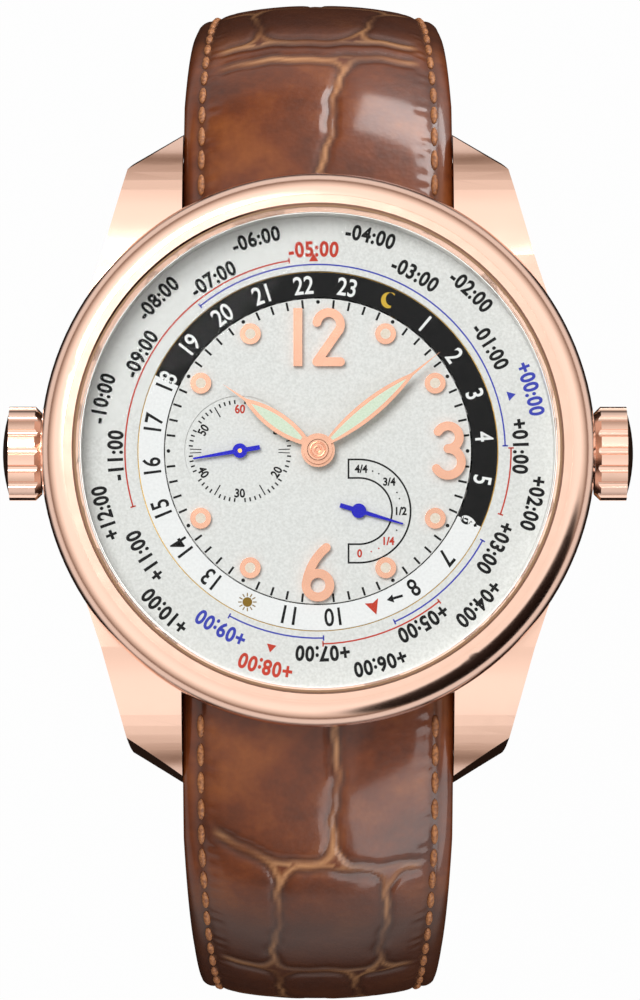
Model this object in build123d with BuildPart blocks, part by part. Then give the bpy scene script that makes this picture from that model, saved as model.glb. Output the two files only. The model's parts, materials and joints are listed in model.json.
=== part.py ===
from build123d import *
from math import atan2, cos, degrees, hypot, radians, sin, sqrt
import os

# World time wristwatch, in millimetres. The dial faces +Z, 12 o'clock is +Y and 3 o'clock is +X.
# The watch stands on the buckle side of its closed strap, with the hand axis over the origin.

os.makedirs("parts", exist_ok=True)

# Fits and small allowances that several pieces share
running_clearance = 0.03
seat_clearance = 0.05
piece_gap = 0.2
wheel_gap = 0.1
cut_overrun = 1.0
edge_break = 0.15

# Case: overall sizes from the photograph
back_height = 45.5
case_radius = 19.9
bezel_overhang = 0.6
bezel_radius = case_radius + bezel_overhang
opening_radius = 17.55
crystal_seat_radius = 17.97
bezel_groove_radius = 18.6
bezel_groove_width = 0.15
bezel_groove_depth = 0.12
lug_length = 4.5
lug_reach = case_radius + lug_length
lug_gap_half = 10.1
lug_tip_half = 13.9
lug_tip_slant = 2.2
lug_end_slope = 1.0
lug_corner_radius = 1.5
lug_outer_half = 16.0
lug_outer_y = 14.6
lug_root_half = 18.2
lug_root_y = 8.0
lug_shoulder_y = 14.5
lug_foot_y = 17.0
lug_tip_top = 2.9
lug_tip_bottom = 0.35
lug_top_sagitta = 1.25
lug_bottom_sagitta = 0.5

# Case: heights above the case back's lower face
back_ring_thickness = 1.6
band_height = 7.0
bezel_flange = 0.5
bezel_crown = 0.5
bezel_height = 2.9
bezel_skirt = 0.75
crystal_ledge_height = 10.2
crystal_edge_height = 11.35
crystal_step_height = 11.65
crystal_dome_height = 12.4
crystal_gasket_thickness = 0.15
band_bulge = 0.25

# Case back
back_ring_inset = 1.0
back_ring_radius = case_radius - back_ring_inset
back_window_radius = 14.2
back_glass_radius = 15.0
back_glass_lip = 0.5
back_glass_thickness = 0.9
back_gasket_inner = 17.3
back_gasket_width = 0.4
back_gasket_height = 0.35
back_screw_circle = 18.25
back_screw_head_radius = 0.45
back_screw_head_height = 0.4
back_screw_radius = 0.25
back_screw_length = 2.4
back_screw_count = 6
back_screw_start = 30.0
screw_slot_width = 0.14
screw_slot_depth = 0.15

# Space for the movement
holder_gap = 0.05
movement_bore_radius = 17.2
ring_bore_radius = 18.4
holder_inner_radius = 15.15
holder_height = 4.9
movement_radius = 15.1
ring_ledge_height = 7.1

# Crowns, their tubes and stems
crown_gap = 0.05
crown_radius = 3.5
crown_length = 2.9
crown_start = bezel_radius + crown_gap
crown_flutes = 16
flute_radius = 0.34
flute_depth = 0.22
crown_cap_length = 0.5
crown_cap_step = 0.3
crown_shoulder = 0.45
crown_recess_radius = 2.1
crown_recess_depth = 0.7
stem_height = 4.9
stem_radius = 0.6
tube_radius = 1.5
tube_bore = 0.95
tube_end_in_crown = 0.5
tube_length = crown_start + tube_end_in_crown - movement_bore_radius
stem_boss_radius = 0.9
stem_end_x = 10.2
stem_groove_x = 12.9
stem_groove_width = 0.5
stem_groove_radius = 0.4
clutch_length = 1.4
clutch_radius = 1.0
clutch_teeth = 12
clutch_tooth_depth = 0.2
lever_thickness = 0.25
lever_width = 0.9
lever_reach = 3.4
lever_pin_radius = 0.2
bearing_block_width = 3.2
bearing_block_start = 13.3
crown_pull = 1.5

# Heights of the movement's plates above the case back's lower face
rotor_bottom = 1.7
rotor_plate = 0.3
rotor_rim = 0.8
bridge_bottom = 2.9
bridge_thickness = 0.65
train_level_1 = 3.7
train_level_2 = 4.05
train_level_3 = 4.6
wheel_thickness = 0.25
plate_bottom = 5.2
plate_thickness = 0.8
motion_level_1 = 6.1
motion_level_2 = 6.5
motion_level_3 = 6.93
dial_bottom = 7.3
dial_thickness = 0.4

# Dial and its rings
dial_radius = 11.3
day_ring_inner = 11.4
day_ring_outer = 13.27
city_ring_inner = 13.35
city_ring_outer = ring_bore_radius - wheel_gap
numeral_height = 0.55
numeral_stroke = 0.66
figure_height = 3.65
figure_width = 1.75
twelve_y = 8.4
three_x = 9.6
six_y = -9.0
twelve_shares = (0.85, 0.45)
three_bowl_shares = (0.23, 0.27)
six_tail_shares = (0.7, 1.15)
dot_radius = 0.775
dot_circle = 10.0
dot_height = 0.4
dot_lume_radius = 0.38
subdial_radius = 4.1
subdial_depth = 0.12
seconds_x = -5.77
reserve_x = 3.02
reserve_y = -4.45
dial_foot_radius = 0.4
dial_foot_circle = 9.4
dial_foot_angles = (132.0, 226.0, 320.0)

# Hands
hour_hand_height = 8.5
minute_hand_height = 8.9
small_hand_height = 7.95
hand_thickness = 0.16
hour_hand_reach = 8.6
hour_leaf_reach = 6.5
hour_leaf_width = 1.45
minute_hand_reach = 11.66
minute_leaf_reach = 8.9
minute_leaf_width = 1.4
hand_needle_width = 0.22
hour_hub_radius = 1.25
minute_hub_radius = 1.05
hub_collar_radius = 0.85
hub_collar_height = 0.08
hand_rim_width = 0.24
hour_hand_angle = 145.2
minute_hand_angle = 38.8
seconds_hand_angle = 189.7
reserve_hand_angle = -16.5
seconds_hand_reach = 3.5
seconds_hand_tail = 1.5
reserve_hand_reach = 3.4
reserve_hand_tail = 1.45
small_hub_radius = 0.54
small_hand_width = 0.34
small_tip_width = 0.12

# Wheel train: places, modules and tooth counts
centre_module = 1 / 6
centre_teeth = 48
third_pinion_teeth = 6
third_module = 1 / 6
third_teeth = 45
fourth_pinion_teeth = 6
fourth_module = 0.12
fourth_teeth = 60
escape_pinion_teeth = 6
barrel_module = 0.22
barrel_teeth = 60
centre_pinion_teeth = 10
escape_teeth = 15
escape_radius = 1.9
escape_direction = 105.0
barrel_direction = 50.0
balance_x = -5.6
balance_y = 9.2
balance_radius = 3.5
balance_rim = 0.45
balance_screw_count = 8
pallet_distance = 2.5
ratchet_radius = 3.0
ratchet_teeth = 32
ratchet_tooth = 0.28
arbor_radius = 0.3
pivot_radius = 0.16
jewel_radius = 0.55
jewel_height = 0.3
escape_tooth_depth = 0.55
escape_hub = 0.5
pallet_arm = 0.35
pallet_fork = 2.1
pallet_span = 1.5
pallet_stud_radius = 0.2
roller_radius = 0.5
barrel_drum_share = 0.93
barrel_height = 1.0
barrel_arbor_radius = 0.9
cock_foot_x = -12.0
cock_foot_y = 5.3
cock_foot_radius = 1.9
cock_head_radius = 1.3
bridge_radius = 14.8
bridge_split = 2.2
bridge_gap = 0.25
balance_window = 4.3
foot_radius = 1.3
foot_circle = 13.2
barrel_foot_angles = (-20.0, 95.0)
train_foot_angles = (200.0, 250.0, 300.0)
screw_head_radius = 0.75
screw_head_height = 0.3
screw_shank_radius = 0.35
screw_length = 2.6
rotor_radius = 14.6
rotor_rim_radius = 12.3
rotor_hub_radius = 2.6
rotor_post_radius = 0.9
rotor_bearing_radius = 2.2
rotor_sweep = 180.0
rotor_rest = 90.0
seat_inner_radius = 12.35
seat_outer_radius = 15.1
skirt_inner_radius = 11.75
skirt_outer_radius = 12.25
hub_radius = 0.75
spoke_width = 0.45
wheel_rim = 0.5

# Motion work and the wheel of the 24 hour ring
motion_module = 0.16
cannon_teeth = 10
minute_wheel_teeth = 30
minute_pinion_teeth = 8
hour_wheel_teeth = 32
minute_wheel_direction = -130.0
day_module = 0.3
day_hour_teeth = 28
day_wheel_teeth = 20
day_ring_module = 0.4
day_pinion_teeth = 20
day_ring_teeth = 56
day_wheel_direction = 60.0
centre_arbor_radius = 0.4
cannon_bore = 0.43
cannon_radius = 0.64
hour_pipe_bore = 0.68
hour_pipe_radius = 0.95

# City ring drive
city_teeth = 64
city_pinion_teeth = 8
city_tooth_radius = 16.3
city_tooth_length = 1.0
city_tooth_depth = 0.55
city_tooth_share = 0.4
city_pinion_length = 1.2

# Shares of a tooth's pitch and module that every wheel follows
tooth_root_share = 0.24
tooth_tip_share = 0.12
addendum_share = 0.75
dedendum_share = 1.05

# Strap: half widths, thicknesses and loop
strap_side_gap = 0.15
strap_half_width = lug_gap_half - strap_side_gap
strap_mid_half_width = 9.0
strap_low_half_width = 7.9
strap_low_height = 8.0
upper_strap_reach = 36.4
lower_strap_reach = 40.9
strap_widest_height = 27.5
strap_top_height = 7.9
strap_thickness = 4.4
strap_low_thickness = 2.4
strap_end_gap = 0.25
strap_end_radius = case_radius + strap_end_gap
strap_top_inset = 3.15
strap_top_y = strap_end_radius - strap_top_inset
upper_arc_share = 0.72
strap_foot_height = 0.2
spring_bar_inset = 2.3
spring_bar_y = lug_reach - spring_bar_inset
spring_bar_height = 2.3
spring_bar_radius = 0.75
spring_bar_pivot = 0.4
spring_bar_pivot_length = 0.8

# Buckle and keepers at the bottom of the loop
keeper_wall = 1.2
keeper_width = 5.0
keeper_clearance = 0.15
fixed_keeper_y = 1.2
free_keeper_y = 9.3
outer_layer_bottom = keeper_wall + keeper_clearance
tail_landing_y = strap_widest_height - outer_layer_bottom - lower_strap_reach
buckle_setback = 6.15
buckle_y = tail_landing_y + buckle_setback
buckle_bar_radius = 0.6
buckle_length = 11.5
buckle_rail = 1.7
buckle_height = 1.5
buckle_corner_radius = 2.0
tongue_width = 1.6
tongue_thickness = 0.7
tongue_kink = 3.2
tongue_drop = 6.4
tongue_lift = 0.85
tongue_reach = 11.3
tongue_floor_gap = 0.1
tongue_bend = 0.8
hole_width = 2.2
hole_length = 4.2
hole_pitch = 6.0
hole_count = 4
hole_start = 4.95
tail_end_y = 14.0
tail_corner_radius = 5.0
spring_bar_shoulder = 0.3
buckle_side_gap = 0.3
buckle_eye_wall = 0.7


def at_height(height):
    """Height over the floor of a height that is given above the case back."""
    return back_height + height


def polar(radius, angle):
    """Point of the dial plane at a radius and an angle in degrees from 3 o'clock."""
    return (radius * cos(radians(angle)), radius * sin(radians(angle)))


def level(height, x=0, y=0):
    """Horizontal plane through a point, at a height above the case back."""
    return Plane(origin=(x, y, at_height(height)))


def tooth_points(teeth, tip_radius, root_radius, phase):
    """Closed outline of straight-flanked teeth: four points for each tooth."""
    pitch = 360 / teeth
    corners = (
        (root_radius, -tooth_root_share),
        (tip_radius, -tooth_tip_share),
        (tip_radius, tooth_tip_share),
        (root_radius, tooth_root_share),
    )
    return [polar(radius, phase + (n + share) * pitch) for n in range(teeth) for radius, share in corners]


def gear_outline(teeth, module, phase):
    """Sketch of an external gear about the origin."""
    pitch_radius = teeth * module / 2
    points = tooth_points(
        teeth, pitch_radius + addendum_share * module, pitch_radius - dedendum_share * module, phase
    )
    with BuildSketch() as outline:
        with BuildLine():
            Polyline(*points, close=True)
        make_face()
    return outline.sketch


def spoked_outline(teeth, module, phase, spokes):
    """Sketch of a gear whose web is crossed by spokes."""
    rim_radius = teeth * module / 2 - dedendum_share * module - wheel_rim
    with BuildSketch() as outline:
        add(gear_outline(teeth, module, phase))
        Circle(rim_radius, mode=Mode.SUBTRACT)
        Circle(hub_radius)
        with PolarLocations((rim_radius + wheel_rim / 2) / 2, spokes):
            Rectangle(rim_radius + wheel_rim / 2, spoke_width)
    return outline.sketch


def mesh_phase(direction, teeth_a, phase_a, teeth_b):
    """Phase of a gear that meshes with another one that lies opposite to a direction."""
    pitch_a = 360 / teeth_a
    pitch_b = 360 / teeth_b
    past_tooth = ((direction - phase_a) / pitch_a) % 1
    return direction + 180 - pitch_b * (0.5 - past_tooth)


band_foot = at_height(back_ring_thickness)
band_top = at_height(back_ring_thickness + band_height)
tip_top = at_height(lug_tip_top)
tip_bottom = at_height(lug_tip_bottom)
lug_end_width = lug_tip_half - lug_gap_half
lug_end_plane = Plane(
    origin=(lug_gap_half, lug_reach, tip_bottom),
    x_dir=(lug_tip_slant, lug_end_width, 0),
    z_dir=(lug_end_width, -lug_tip_slant, 0),
)


def lug():
    """One lug: straight inner side, tapered outer side, falling top, sloped end, rounded tip."""
    with BuildPart() as horn:
        with BuildSketch(level(0)) as plan:
            with BuildLine():
                Polyline(
                    (lug_gap_half, 0),
                    (lug_gap_half, lug_reach),
                    (lug_tip_half, lug_reach - lug_tip_slant),
                    (lug_outer_half, lug_outer_y),
                    (lug_root_half, lug_root_y),
                    (lug_root_half, 0),
                    close=True,
                )
            make_face()
            tip_corner = plan.vertices().sort_by_distance((lug_tip_half, lug_reach - lug_tip_slant))[0]
            fillet(tip_corner, lug_corner_radius)
        extrude(amount=back_ring_thickness + band_height)
        with BuildSketch(Plane.YZ):
            with BuildLine():
                SagittaArc((lug_shoulder_y, band_top), (lug_reach, tip_top), lug_top_sagitta)
                Line((lug_reach, tip_top), (lug_reach, tip_bottom))
                SagittaArc((lug_reach, tip_bottom), (lug_foot_y, band_foot), -lug_bottom_sagitta)
                Polyline((lug_foot_y, band_foot), (0, band_foot), (0, band_top), (lug_shoulder_y, band_top))
            make_face()
        extrude(amount=case_radius, mode=Mode.INTERSECT)
        with BuildSketch(lug_end_plane):
            with BuildLine():
                end_rise = lug_tip_top - lug_tip_bottom
                Polyline(
                    (0, 0),
                    (-2 * lug_end_slope, 2 * end_rise),
                    (lug_end_slope, 2 * end_rise),
                    (lug_end_slope, 0),
                    close=True,
                )
            make_face()
        extrude(amount=lug_reach, both=True, mode=Mode.SUBTRACT)
    return horn.part


# Case middle: four lugs that fall towards the wrist, and a round band between them
with BuildPart() as case_middle:
    add(lug())
    mirror(about=Plane.YZ)
    mirror(about=Plane.XZ)
    with BuildSketch(Plane.XZ):
        with BuildLine():
            Line((0, band_foot), (case_radius - band_bulge, band_foot))
            band_edge = case_radius - band_bulge
            SagittaArc((band_edge, band_foot), (band_edge, band_top), -band_bulge)
            Line((case_radius - band_bulge, band_top), (0, band_top))
            Line((0, band_top), (0, band_foot))
        make_face()
    revolve(axis=Axis.Z)
    with BuildSketch(level(back_ring_thickness)):
        Circle(movement_bore_radius)
    extrude(amount=band_height, mode=Mode.SUBTRACT)
    with BuildSketch(level(ring_ledge_height)):
        Circle(ring_bore_radius)
    extrude(amount=band_height, mode=Mode.SUBTRACT)
    with BuildSketch(level(back_ring_thickness)):
        Circle(back_gasket_inner + back_gasket_width)
        Circle(back_gasket_inner, mode=Mode.SUBTRACT)
    extrude(amount=back_gasket_height, mode=Mode.SUBTRACT)
    with BuildSketch(level(back_ring_thickness)):
        with PolarLocations(back_screw_circle, back_screw_count, start_angle=back_screw_start):
            Circle(back_screw_radius + running_clearance)
    extrude(amount=back_screw_length, mode=Mode.SUBTRACT)
    with BuildSketch(Plane(origin=(0, 0, at_height(stem_height)), z_dir=(1, 0, 0))):
        Circle(tube_radius)
    extrude(amount=bezel_radius, both=True, mode=Mode.SUBTRACT)
    with BuildSketch(Plane.YZ):
        bar_line = at_height(spring_bar_height)
        with Locations((spring_bar_y, bar_line), (-spring_bar_y, bar_line)):
            Circle(spring_bar_pivot + running_clearance)
    extrude(amount=lug_gap_half + spring_bar_pivot_length, both=True, mode=Mode.SUBTRACT)
case_middle.part.label = "case_middle"
export_step(case_middle.part, "parts/case_middle.step")

# Bezel: broad rounded band, groove and inner rim, ledge for the crystal, skirt over the city ring
with BuildPart() as bezel:
    with BuildSketch(Plane.XZ):
        bezel_top = band_top + bezel_height
        skirt_foot = band_top - bezel_skirt
        ledge = at_height(crystal_ledge_height)
        bezel_edge = band_top + bezel_flange
        groove_edge = bezel_groove_radius + bezel_groove_width
        with BuildLine():
            Polyline(
                (groove_edge, bezel_top),
                (groove_edge, bezel_top - bezel_groove_depth),
                (bezel_groove_radius, bezel_top - bezel_groove_depth),
                (bezel_groove_radius, bezel_top),
                (crystal_seat_radius + edge_break, bezel_top),
                (crystal_seat_radius, bezel_top - edge_break),
                (crystal_seat_radius, ledge),
                (opening_radius, ledge),
                (opening_radius, skirt_foot),
                (ring_bore_radius - running_clearance, skirt_foot),
                (ring_bore_radius - running_clearance, band_top),
                (case_radius, band_top),
                (bezel_radius, bezel_edge),
                (bezel_radius, bezel_edge + bezel_flange),
            )
            SagittaArc((bezel_radius, bezel_edge + bezel_flange), (groove_edge, bezel_top), -bezel_crown)
        make_face()
    revolve(axis=Axis.Z)
bezel.part.label = "bezel"
export_step(bezel.part, "parts/bezel.step")

# Crystal with its polished bevel, and the thin gasket that it is pressed into
crystal_radius = crystal_seat_radius - crystal_gasket_thickness
with BuildPart() as crystal:
    with BuildSketch(Plane.XZ):
        crystal_edge = at_height(crystal_edge_height)
        crystal_step = at_height(crystal_step_height)
        crystal_top = at_height(crystal_dome_height)
        dome_rise = crystal_top - crystal_step
        dome_radius = (opening_radius**2 + dome_rise**2) / (2 * dome_rise)
        dome_angle = degrees(2 * atan2(dome_rise, opening_radius))
        with BuildLine():
            dome = JernArc((0, crystal_top), (1, 0), dome_radius, -dome_angle)
            Polyline(
                dome @ 1,
                (crystal_radius, crystal_edge),
                (crystal_radius, ledge),
                (0, ledge),
                (0, crystal_top),
            )
        make_face()
    revolve(axis=Axis.Z)
crystal.part.label = "crystal"
export_step(crystal.part, "parts/crystal.step")

with BuildPart() as crystal_gasket:
    with BuildSketch(level(crystal_ledge_height)):
        Circle(crystal_seat_radius)
        Circle(crystal_radius, mode=Mode.SUBTRACT)
    extrude(amount=crystal_edge_height - crystal_ledge_height)
crystal_gasket.part.label = "crystal_gasket"
export_step(crystal_gasket.part, "parts/crystal_gasket.step")

# Case back: a ring with a window, its glass, its gasket and its screws
with BuildPart() as case_back_ring:
    with BuildSketch(level(0)):
        Circle(back_ring_radius)
        Circle(back_window_radius, mode=Mode.SUBTRACT)
    extrude(amount=back_ring_thickness)
    lower_circles = case_back_ring.edges().filter_by(GeomType.CIRCLE).group_by(Axis.Z)[0]
    chamfer(lower_circles.sort_by(SortBy.RADIUS)[-1], 2 * edge_break)
    with BuildSketch(level(back_glass_lip)):
        Circle(back_glass_radius)
    extrude(amount=back_ring_thickness, mode=Mode.SUBTRACT)
    with BuildSketch(level(0)):
        with PolarLocations(back_screw_circle, back_screw_count, start_angle=back_screw_start):
            Circle(back_screw_radius + running_clearance)
    extrude(amount=back_ring_thickness, mode=Mode.SUBTRACT)
    with BuildSketch(level(0)):
        with PolarLocations(back_screw_circle, back_screw_count, start_angle=back_screw_start):
            Circle(back_screw_head_radius + running_clearance)
    extrude(amount=back_screw_head_height, mode=Mode.SUBTRACT)
case_back_ring.part.label = "case_back_ring"
export_step(case_back_ring.part, "parts/case_back_ring.step")

with BuildPart() as case_back_glass:
    with BuildSketch(level(back_glass_lip)):
        Circle(back_glass_radius - seat_clearance)
    extrude(amount=back_glass_thickness)
case_back_glass.part.label = "case_back_glass"
export_step(case_back_glass.part, "parts/case_back_glass.step")

with BuildPart() as case_back_gasket:
    with BuildSketch(level(back_ring_thickness)):
        Circle(back_gasket_inner + back_gasket_width - seat_clearance)
        Circle(back_gasket_inner + seat_clearance, mode=Mode.SUBTRACT)
    extrude(amount=back_gasket_height)
case_back_gasket.part.label = "case_back_gasket"
export_step(case_back_gasket.part, "parts/case_back_gasket.step")

with BuildPart() as case_back_screws:
    with BuildSketch(level(0)):
        with PolarLocations(back_screw_circle, back_screw_count, start_angle=back_screw_start):
            Circle(back_screw_head_radius)
    extrude(amount=back_screw_head_height)
    with BuildSketch(level(0)):
        with PolarLocations(back_screw_circle, back_screw_count, start_angle=back_screw_start):
            Circle(back_screw_radius)
    extrude(amount=back_ring_thickness + back_screw_length - seat_clearance)
    with BuildSketch(level(0)):
        with PolarLocations(back_screw_circle, back_screw_count, start_angle=back_screw_start):
            Rectangle(2 * back_screw_head_radius + piece_gap, screw_slot_width)
    extrude(amount=screw_slot_depth, mode=Mode.SUBTRACT)
case_back_screws.part.label = "case_back_screws"
export_step(case_back_screws.part, "parts/case_back_screws.step")

stem_line = at_height(stem_height)


def side_plane(side):
    """Upright plane through a crown's axis; its x runs outwards on that side, its y upwards."""
    return Plane(origin=(0, 0, stem_line), x_dir=(side, 0, 0), z_dir=(0, -side, 0))


def across_stem(side, distance):
    """Plane square to a crown's axis, at a distance from the middle of the watch."""
    return Plane(origin=(side * distance, 0, stem_line), x_dir=(0, 1, 0), z_dir=(side, 0, 0))


stem_axis = Axis((0, 0, stem_line), (1, 0, 0))
crown_end = crown_start + crown_length
recess_floor = crown_start + crown_recess_depth
cap_radius = crown_radius - crown_cap_step
cap_curve = (cap_radius**2 + crown_cap_length**2) / (2 * crown_cap_length)
cap_angle = degrees(2 * atan2(crown_cap_length, cap_radius))

# Crowns at 3 and 9 o'clock: domed caps, shoulders broken at 45 degrees, rounded flutes on the grip
for crown_name, side in (("winding_crown", 1), ("city_crown", -1)):
    with BuildPart() as crown:
        with BuildSketch(side_plane(side)):
            with BuildLine():
                cap = JernArc((crown_end, 0), (0, 1), cap_curve, cap_angle)
                Polyline(
                    cap @ 1,
                    (crown_end - crown_cap_length, crown_radius),
                    (crown_start + crown_shoulder, crown_radius),
                    (crown_start, crown_radius - crown_shoulder),
                    (crown_start, crown_recess_radius),
                    (recess_floor, crown_recess_radius),
                    (recess_floor, 0),
                    (crown_end, 0),
                )
            make_face()
        revolve(axis=stem_axis)
        with BuildSketch(across_stem(side, crown_start)):
            with PolarLocations(crown_radius + flute_radius - flute_depth, crown_flutes):
                Circle(flute_radius)
        extrude(amount=crown_length - crown_cap_length, mode=Mode.SUBTRACT)
    crown.part.label = crown_name
    export_step(crown.part, f"parts/{crown_name}.step")

# Tubes that line the holes through the case wall
for tube_name, side in (("winding_crown_tube", 1), ("city_crown_tube", -1)):
    with BuildPart() as tube:
        with BuildSketch(across_stem(side, movement_bore_radius)):
            Circle(tube_radius)
            Circle(stem_boss_radius + seat_clearance, mode=Mode.SUBTRACT)
        extrude(amount=tube_length)
    tube.part.label = tube_name
    export_step(tube.part, f"parts/{tube_name}.step")

# Winding stem: boss in the tube, groove for the setting lever
with BuildPart() as winding_stem:
    with BuildSketch(across_stem(1, stem_end_x)):
        Circle(stem_radius)
    extrude(amount=recess_floor - stem_end_x)
    with BuildSketch(across_stem(1, movement_bore_radius)):
        Circle(stem_boss_radius)
    extrude(amount=recess_floor - movement_bore_radius)
    with BuildSketch(across_stem(1, stem_groove_x - stem_groove_width / 2)):
        Circle(stem_radius)
        Circle(stem_groove_radius, mode=Mode.SUBTRACT)
    extrude(amount=stem_groove_width, mode=Mode.SUBTRACT)
winding_stem.part.label = "winding_stem"
export_step(winding_stem.part, "parts/winding_stem.step")

# Sliding pinion on the stem's inner end
with BuildPart() as sliding_pinion:
    with BuildSketch(across_stem(1, stem_end_x)):
        with BuildLine():
            clutch_root = clutch_radius - clutch_tooth_depth
            Polyline(*tooth_points(clutch_teeth, clutch_radius, clutch_root, 0), close=True)
        make_face()
        Circle(stem_radius, mode=Mode.SUBTRACT)
    extrude(amount=clutch_length)
sliding_pinion.part.label = "sliding_pinion"
export_step(sliding_pinion.part, "parts/sliding_pinion.step")

# Setting lever: a pin in the stem's groove, under a flat arm that slides with the stem
plate_top = plate_bottom + plate_thickness
with BuildPart() as setting_lever:
    with BuildSketch(level(plate_top + wheel_gap, stem_groove_x, 0)):
        with Locations((0, lever_width / 2 - lever_reach / 2)):
            Rectangle(lever_width, lever_reach)
    extrude(amount=lever_thickness)
    with BuildSketch(level(plate_top + wheel_gap, stem_groove_x, 0)):
        Circle(lever_pin_radius)
    extrude(amount=stem_height + stem_groove_radius + running_clearance - plate_top - wheel_gap)
setting_lever.part.label = "setting_lever"
export_step(setting_lever.part, "parts/setting_lever.step")

# City stem: the boss in its tube and the pinion that drives the city ring's face teeth
city_pinion_radius = city_tooth_radius * city_pinion_teeth / city_teeth
city_pinion_tip = city_pinion_radius + city_tooth_depth / 2 - wheel_gap
city_pinion_root = city_pinion_radius - city_tooth_depth / 2 - wheel_gap
city_pinion_start = city_tooth_radius - city_pinion_length / 2
city_gap_up = 90 + 180 / city_pinion_teeth
with BuildPart() as city_stem:
    with BuildSketch(across_stem(-1, city_pinion_start)):
        with BuildLine():
            Polyline(
                *tooth_points(city_pinion_teeth, city_pinion_tip, city_pinion_root, city_gap_up),
                close=True,
            )
        make_face()
    extrude(amount=city_pinion_length)
    with BuildSketch(across_stem(-1, city_pinion_start)):
        Circle(stem_boss_radius)
    extrude(amount=recess_floor - city_pinion_start)
city_stem.part.label = "city_stem"
export_step(city_stem.part, "parts/city_stem.step")

# Ring that holds the movement in the case, cut open above its foot where the two stems pass
with BuildPart() as movement_holder:
    with BuildSketch(level(back_ring_thickness + holder_gap)):
        Circle(movement_bore_radius - seat_clearance)
        Circle(holder_inner_radius, mode=Mode.SUBTRACT)
    extrude(amount=holder_height)
    with BuildSketch(level(stem_height - city_pinion_tip - wheel_gap)):
        with Locations((movement_bore_radius, 0)):
            Rectangle(2 * tube_length, 2 * (stem_boss_radius + piece_gap))
        with Locations((-movement_bore_radius, 0)):
            Rectangle(2 * tube_length, 2 * (city_pinion_tip + piece_gap))
    extrude(amount=holder_height, mode=Mode.SUBTRACT)
movement_holder.part.label = "movement_holder"
export_step(movement_holder.part, "parts/movement_holder.step")

# Places of the wheels, from their modules and tooth counts
third_distance = centre_module * (centre_teeth + third_pinion_teeth) / 2
fourth_distance = third_module * (third_teeth + fourth_pinion_teeth) / 2
third_x = (third_distance**2 - fourth_distance**2 + seconds_x**2) / (2 * seconds_x)
third_y = -sqrt(third_distance**2 - third_x**2)
escape_distance = fourth_module * (fourth_teeth + escape_pinion_teeth) / 2
escape_x = seconds_x + escape_distance * cos(radians(escape_direction))
escape_y = escape_distance * sin(radians(escape_direction))
barrel_distance = barrel_module * (barrel_teeth + centre_pinion_teeth) / 2
barrel_x, barrel_y = polar(barrel_distance, barrel_direction)
balance_distance = hypot(balance_x - escape_x, balance_y - escape_y)
pallet_x = escape_x + (balance_x - escape_x) * pallet_distance / balance_distance
pallet_y = escape_y + (balance_y - escape_y) * pallet_distance / balance_distance
minute_wheel_distance = motion_module * (cannon_teeth + minute_wheel_teeth) / 2
minute_wheel_x, minute_wheel_y = polar(minute_wheel_distance, minute_wheel_direction)
day_wheel_distance = day_module * (day_hour_teeth + day_wheel_teeth) / 2
day_wheel_x, day_wheel_y = polar(day_wheel_distance, day_wheel_direction)

# Phases that bring every pair of wheels into mesh at rest
direction_third = degrees(atan2(third_y, third_x))
direction_fourth = degrees(atan2(-third_y, seconds_x - third_x))
centre_phase = 0
third_pinion_phase = mesh_phase(direction_third, centre_teeth, centre_phase, third_pinion_teeth)
third_phase = third_pinion_phase
fourth_pinion_phase = mesh_phase(direction_fourth, third_teeth, third_phase, fourth_pinion_teeth)
fourth_phase = fourth_pinion_phase
escape_pinion_phase = mesh_phase(escape_direction, fourth_teeth, fourth_phase, escape_pinion_teeth)
barrel_phase = mesh_phase(barrel_direction, centre_pinion_teeth, centre_phase, barrel_teeth)
minute_wheel_phase = mesh_phase(minute_wheel_direction, cannon_teeth, 0, minute_wheel_teeth)
minute_pinion_phase = 0
hour_wheel_phase = mesh_phase(
    minute_wheel_direction + 180, minute_pinion_teeth, minute_pinion_phase, hour_wheel_teeth
)
day_hour_phase = 0
day_wheel_phase = mesh_phase(day_wheel_direction, day_hour_teeth, day_hour_phase, day_wheel_teeth)
day_pinion_phase = day_wheel_phase
day_ring_pitch = 360 / day_ring_teeth
day_pinion_pitch = 360 / day_pinion_teeth
day_past_tooth = ((day_wheel_direction - day_pinion_phase) / day_pinion_pitch) % 1
day_ring_phase = day_wheel_direction - day_ring_pitch * (day_past_tooth - 0.5)

plate_hole_depth = 0.45
pivot_top = plate_bottom + plate_hole_depth
arbor_bottom = bridge_bottom + jewel_height / 3


def pivots(x, y):
    """Arbor with a pivot at each end, between a bridge and the main plate."""
    with BuildPart() as arbor:
        with BuildSketch(level(arbor_bottom, x, y)):
            Circle(pivot_radius)
        extrude(amount=pivot_top - arbor_bottom - running_clearance)
        with BuildSketch(level(bridge_bottom + bridge_thickness + seat_clearance, x, y)):
            Circle(arbor_radius)
        extrude(amount=plate_bottom - bridge_bottom - bridge_thickness - 2 * seat_clearance)
    return arbor.part


# Centre wheel with its pinion; the arbor rises through the cannon pinion
with BuildPart() as centre_wheel:
    with BuildSketch(level(train_level_1)):
        add(spoked_outline(centre_teeth, centre_module, centre_phase, 5))
    extrude(amount=wheel_thickness)
    with BuildSketch(level(train_level_3)):
        add(gear_outline(centre_pinion_teeth, barrel_module, centre_phase))
    extrude(amount=wheel_thickness * 2)
    with BuildSketch(level(bridge_bottom + bridge_thickness + seat_clearance)):
        Circle(centre_arbor_radius)
    extrude(amount=minute_hand_height - bridge_bottom - bridge_thickness)
    with BuildSketch(level(arbor_bottom)):
        Circle(pivot_radius)
    extrude(amount=bridge_thickness)
centre_wheel.part.label = "centre_wheel"
export_step(centre_wheel.part, "parts/centre_wheel.step")

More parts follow.
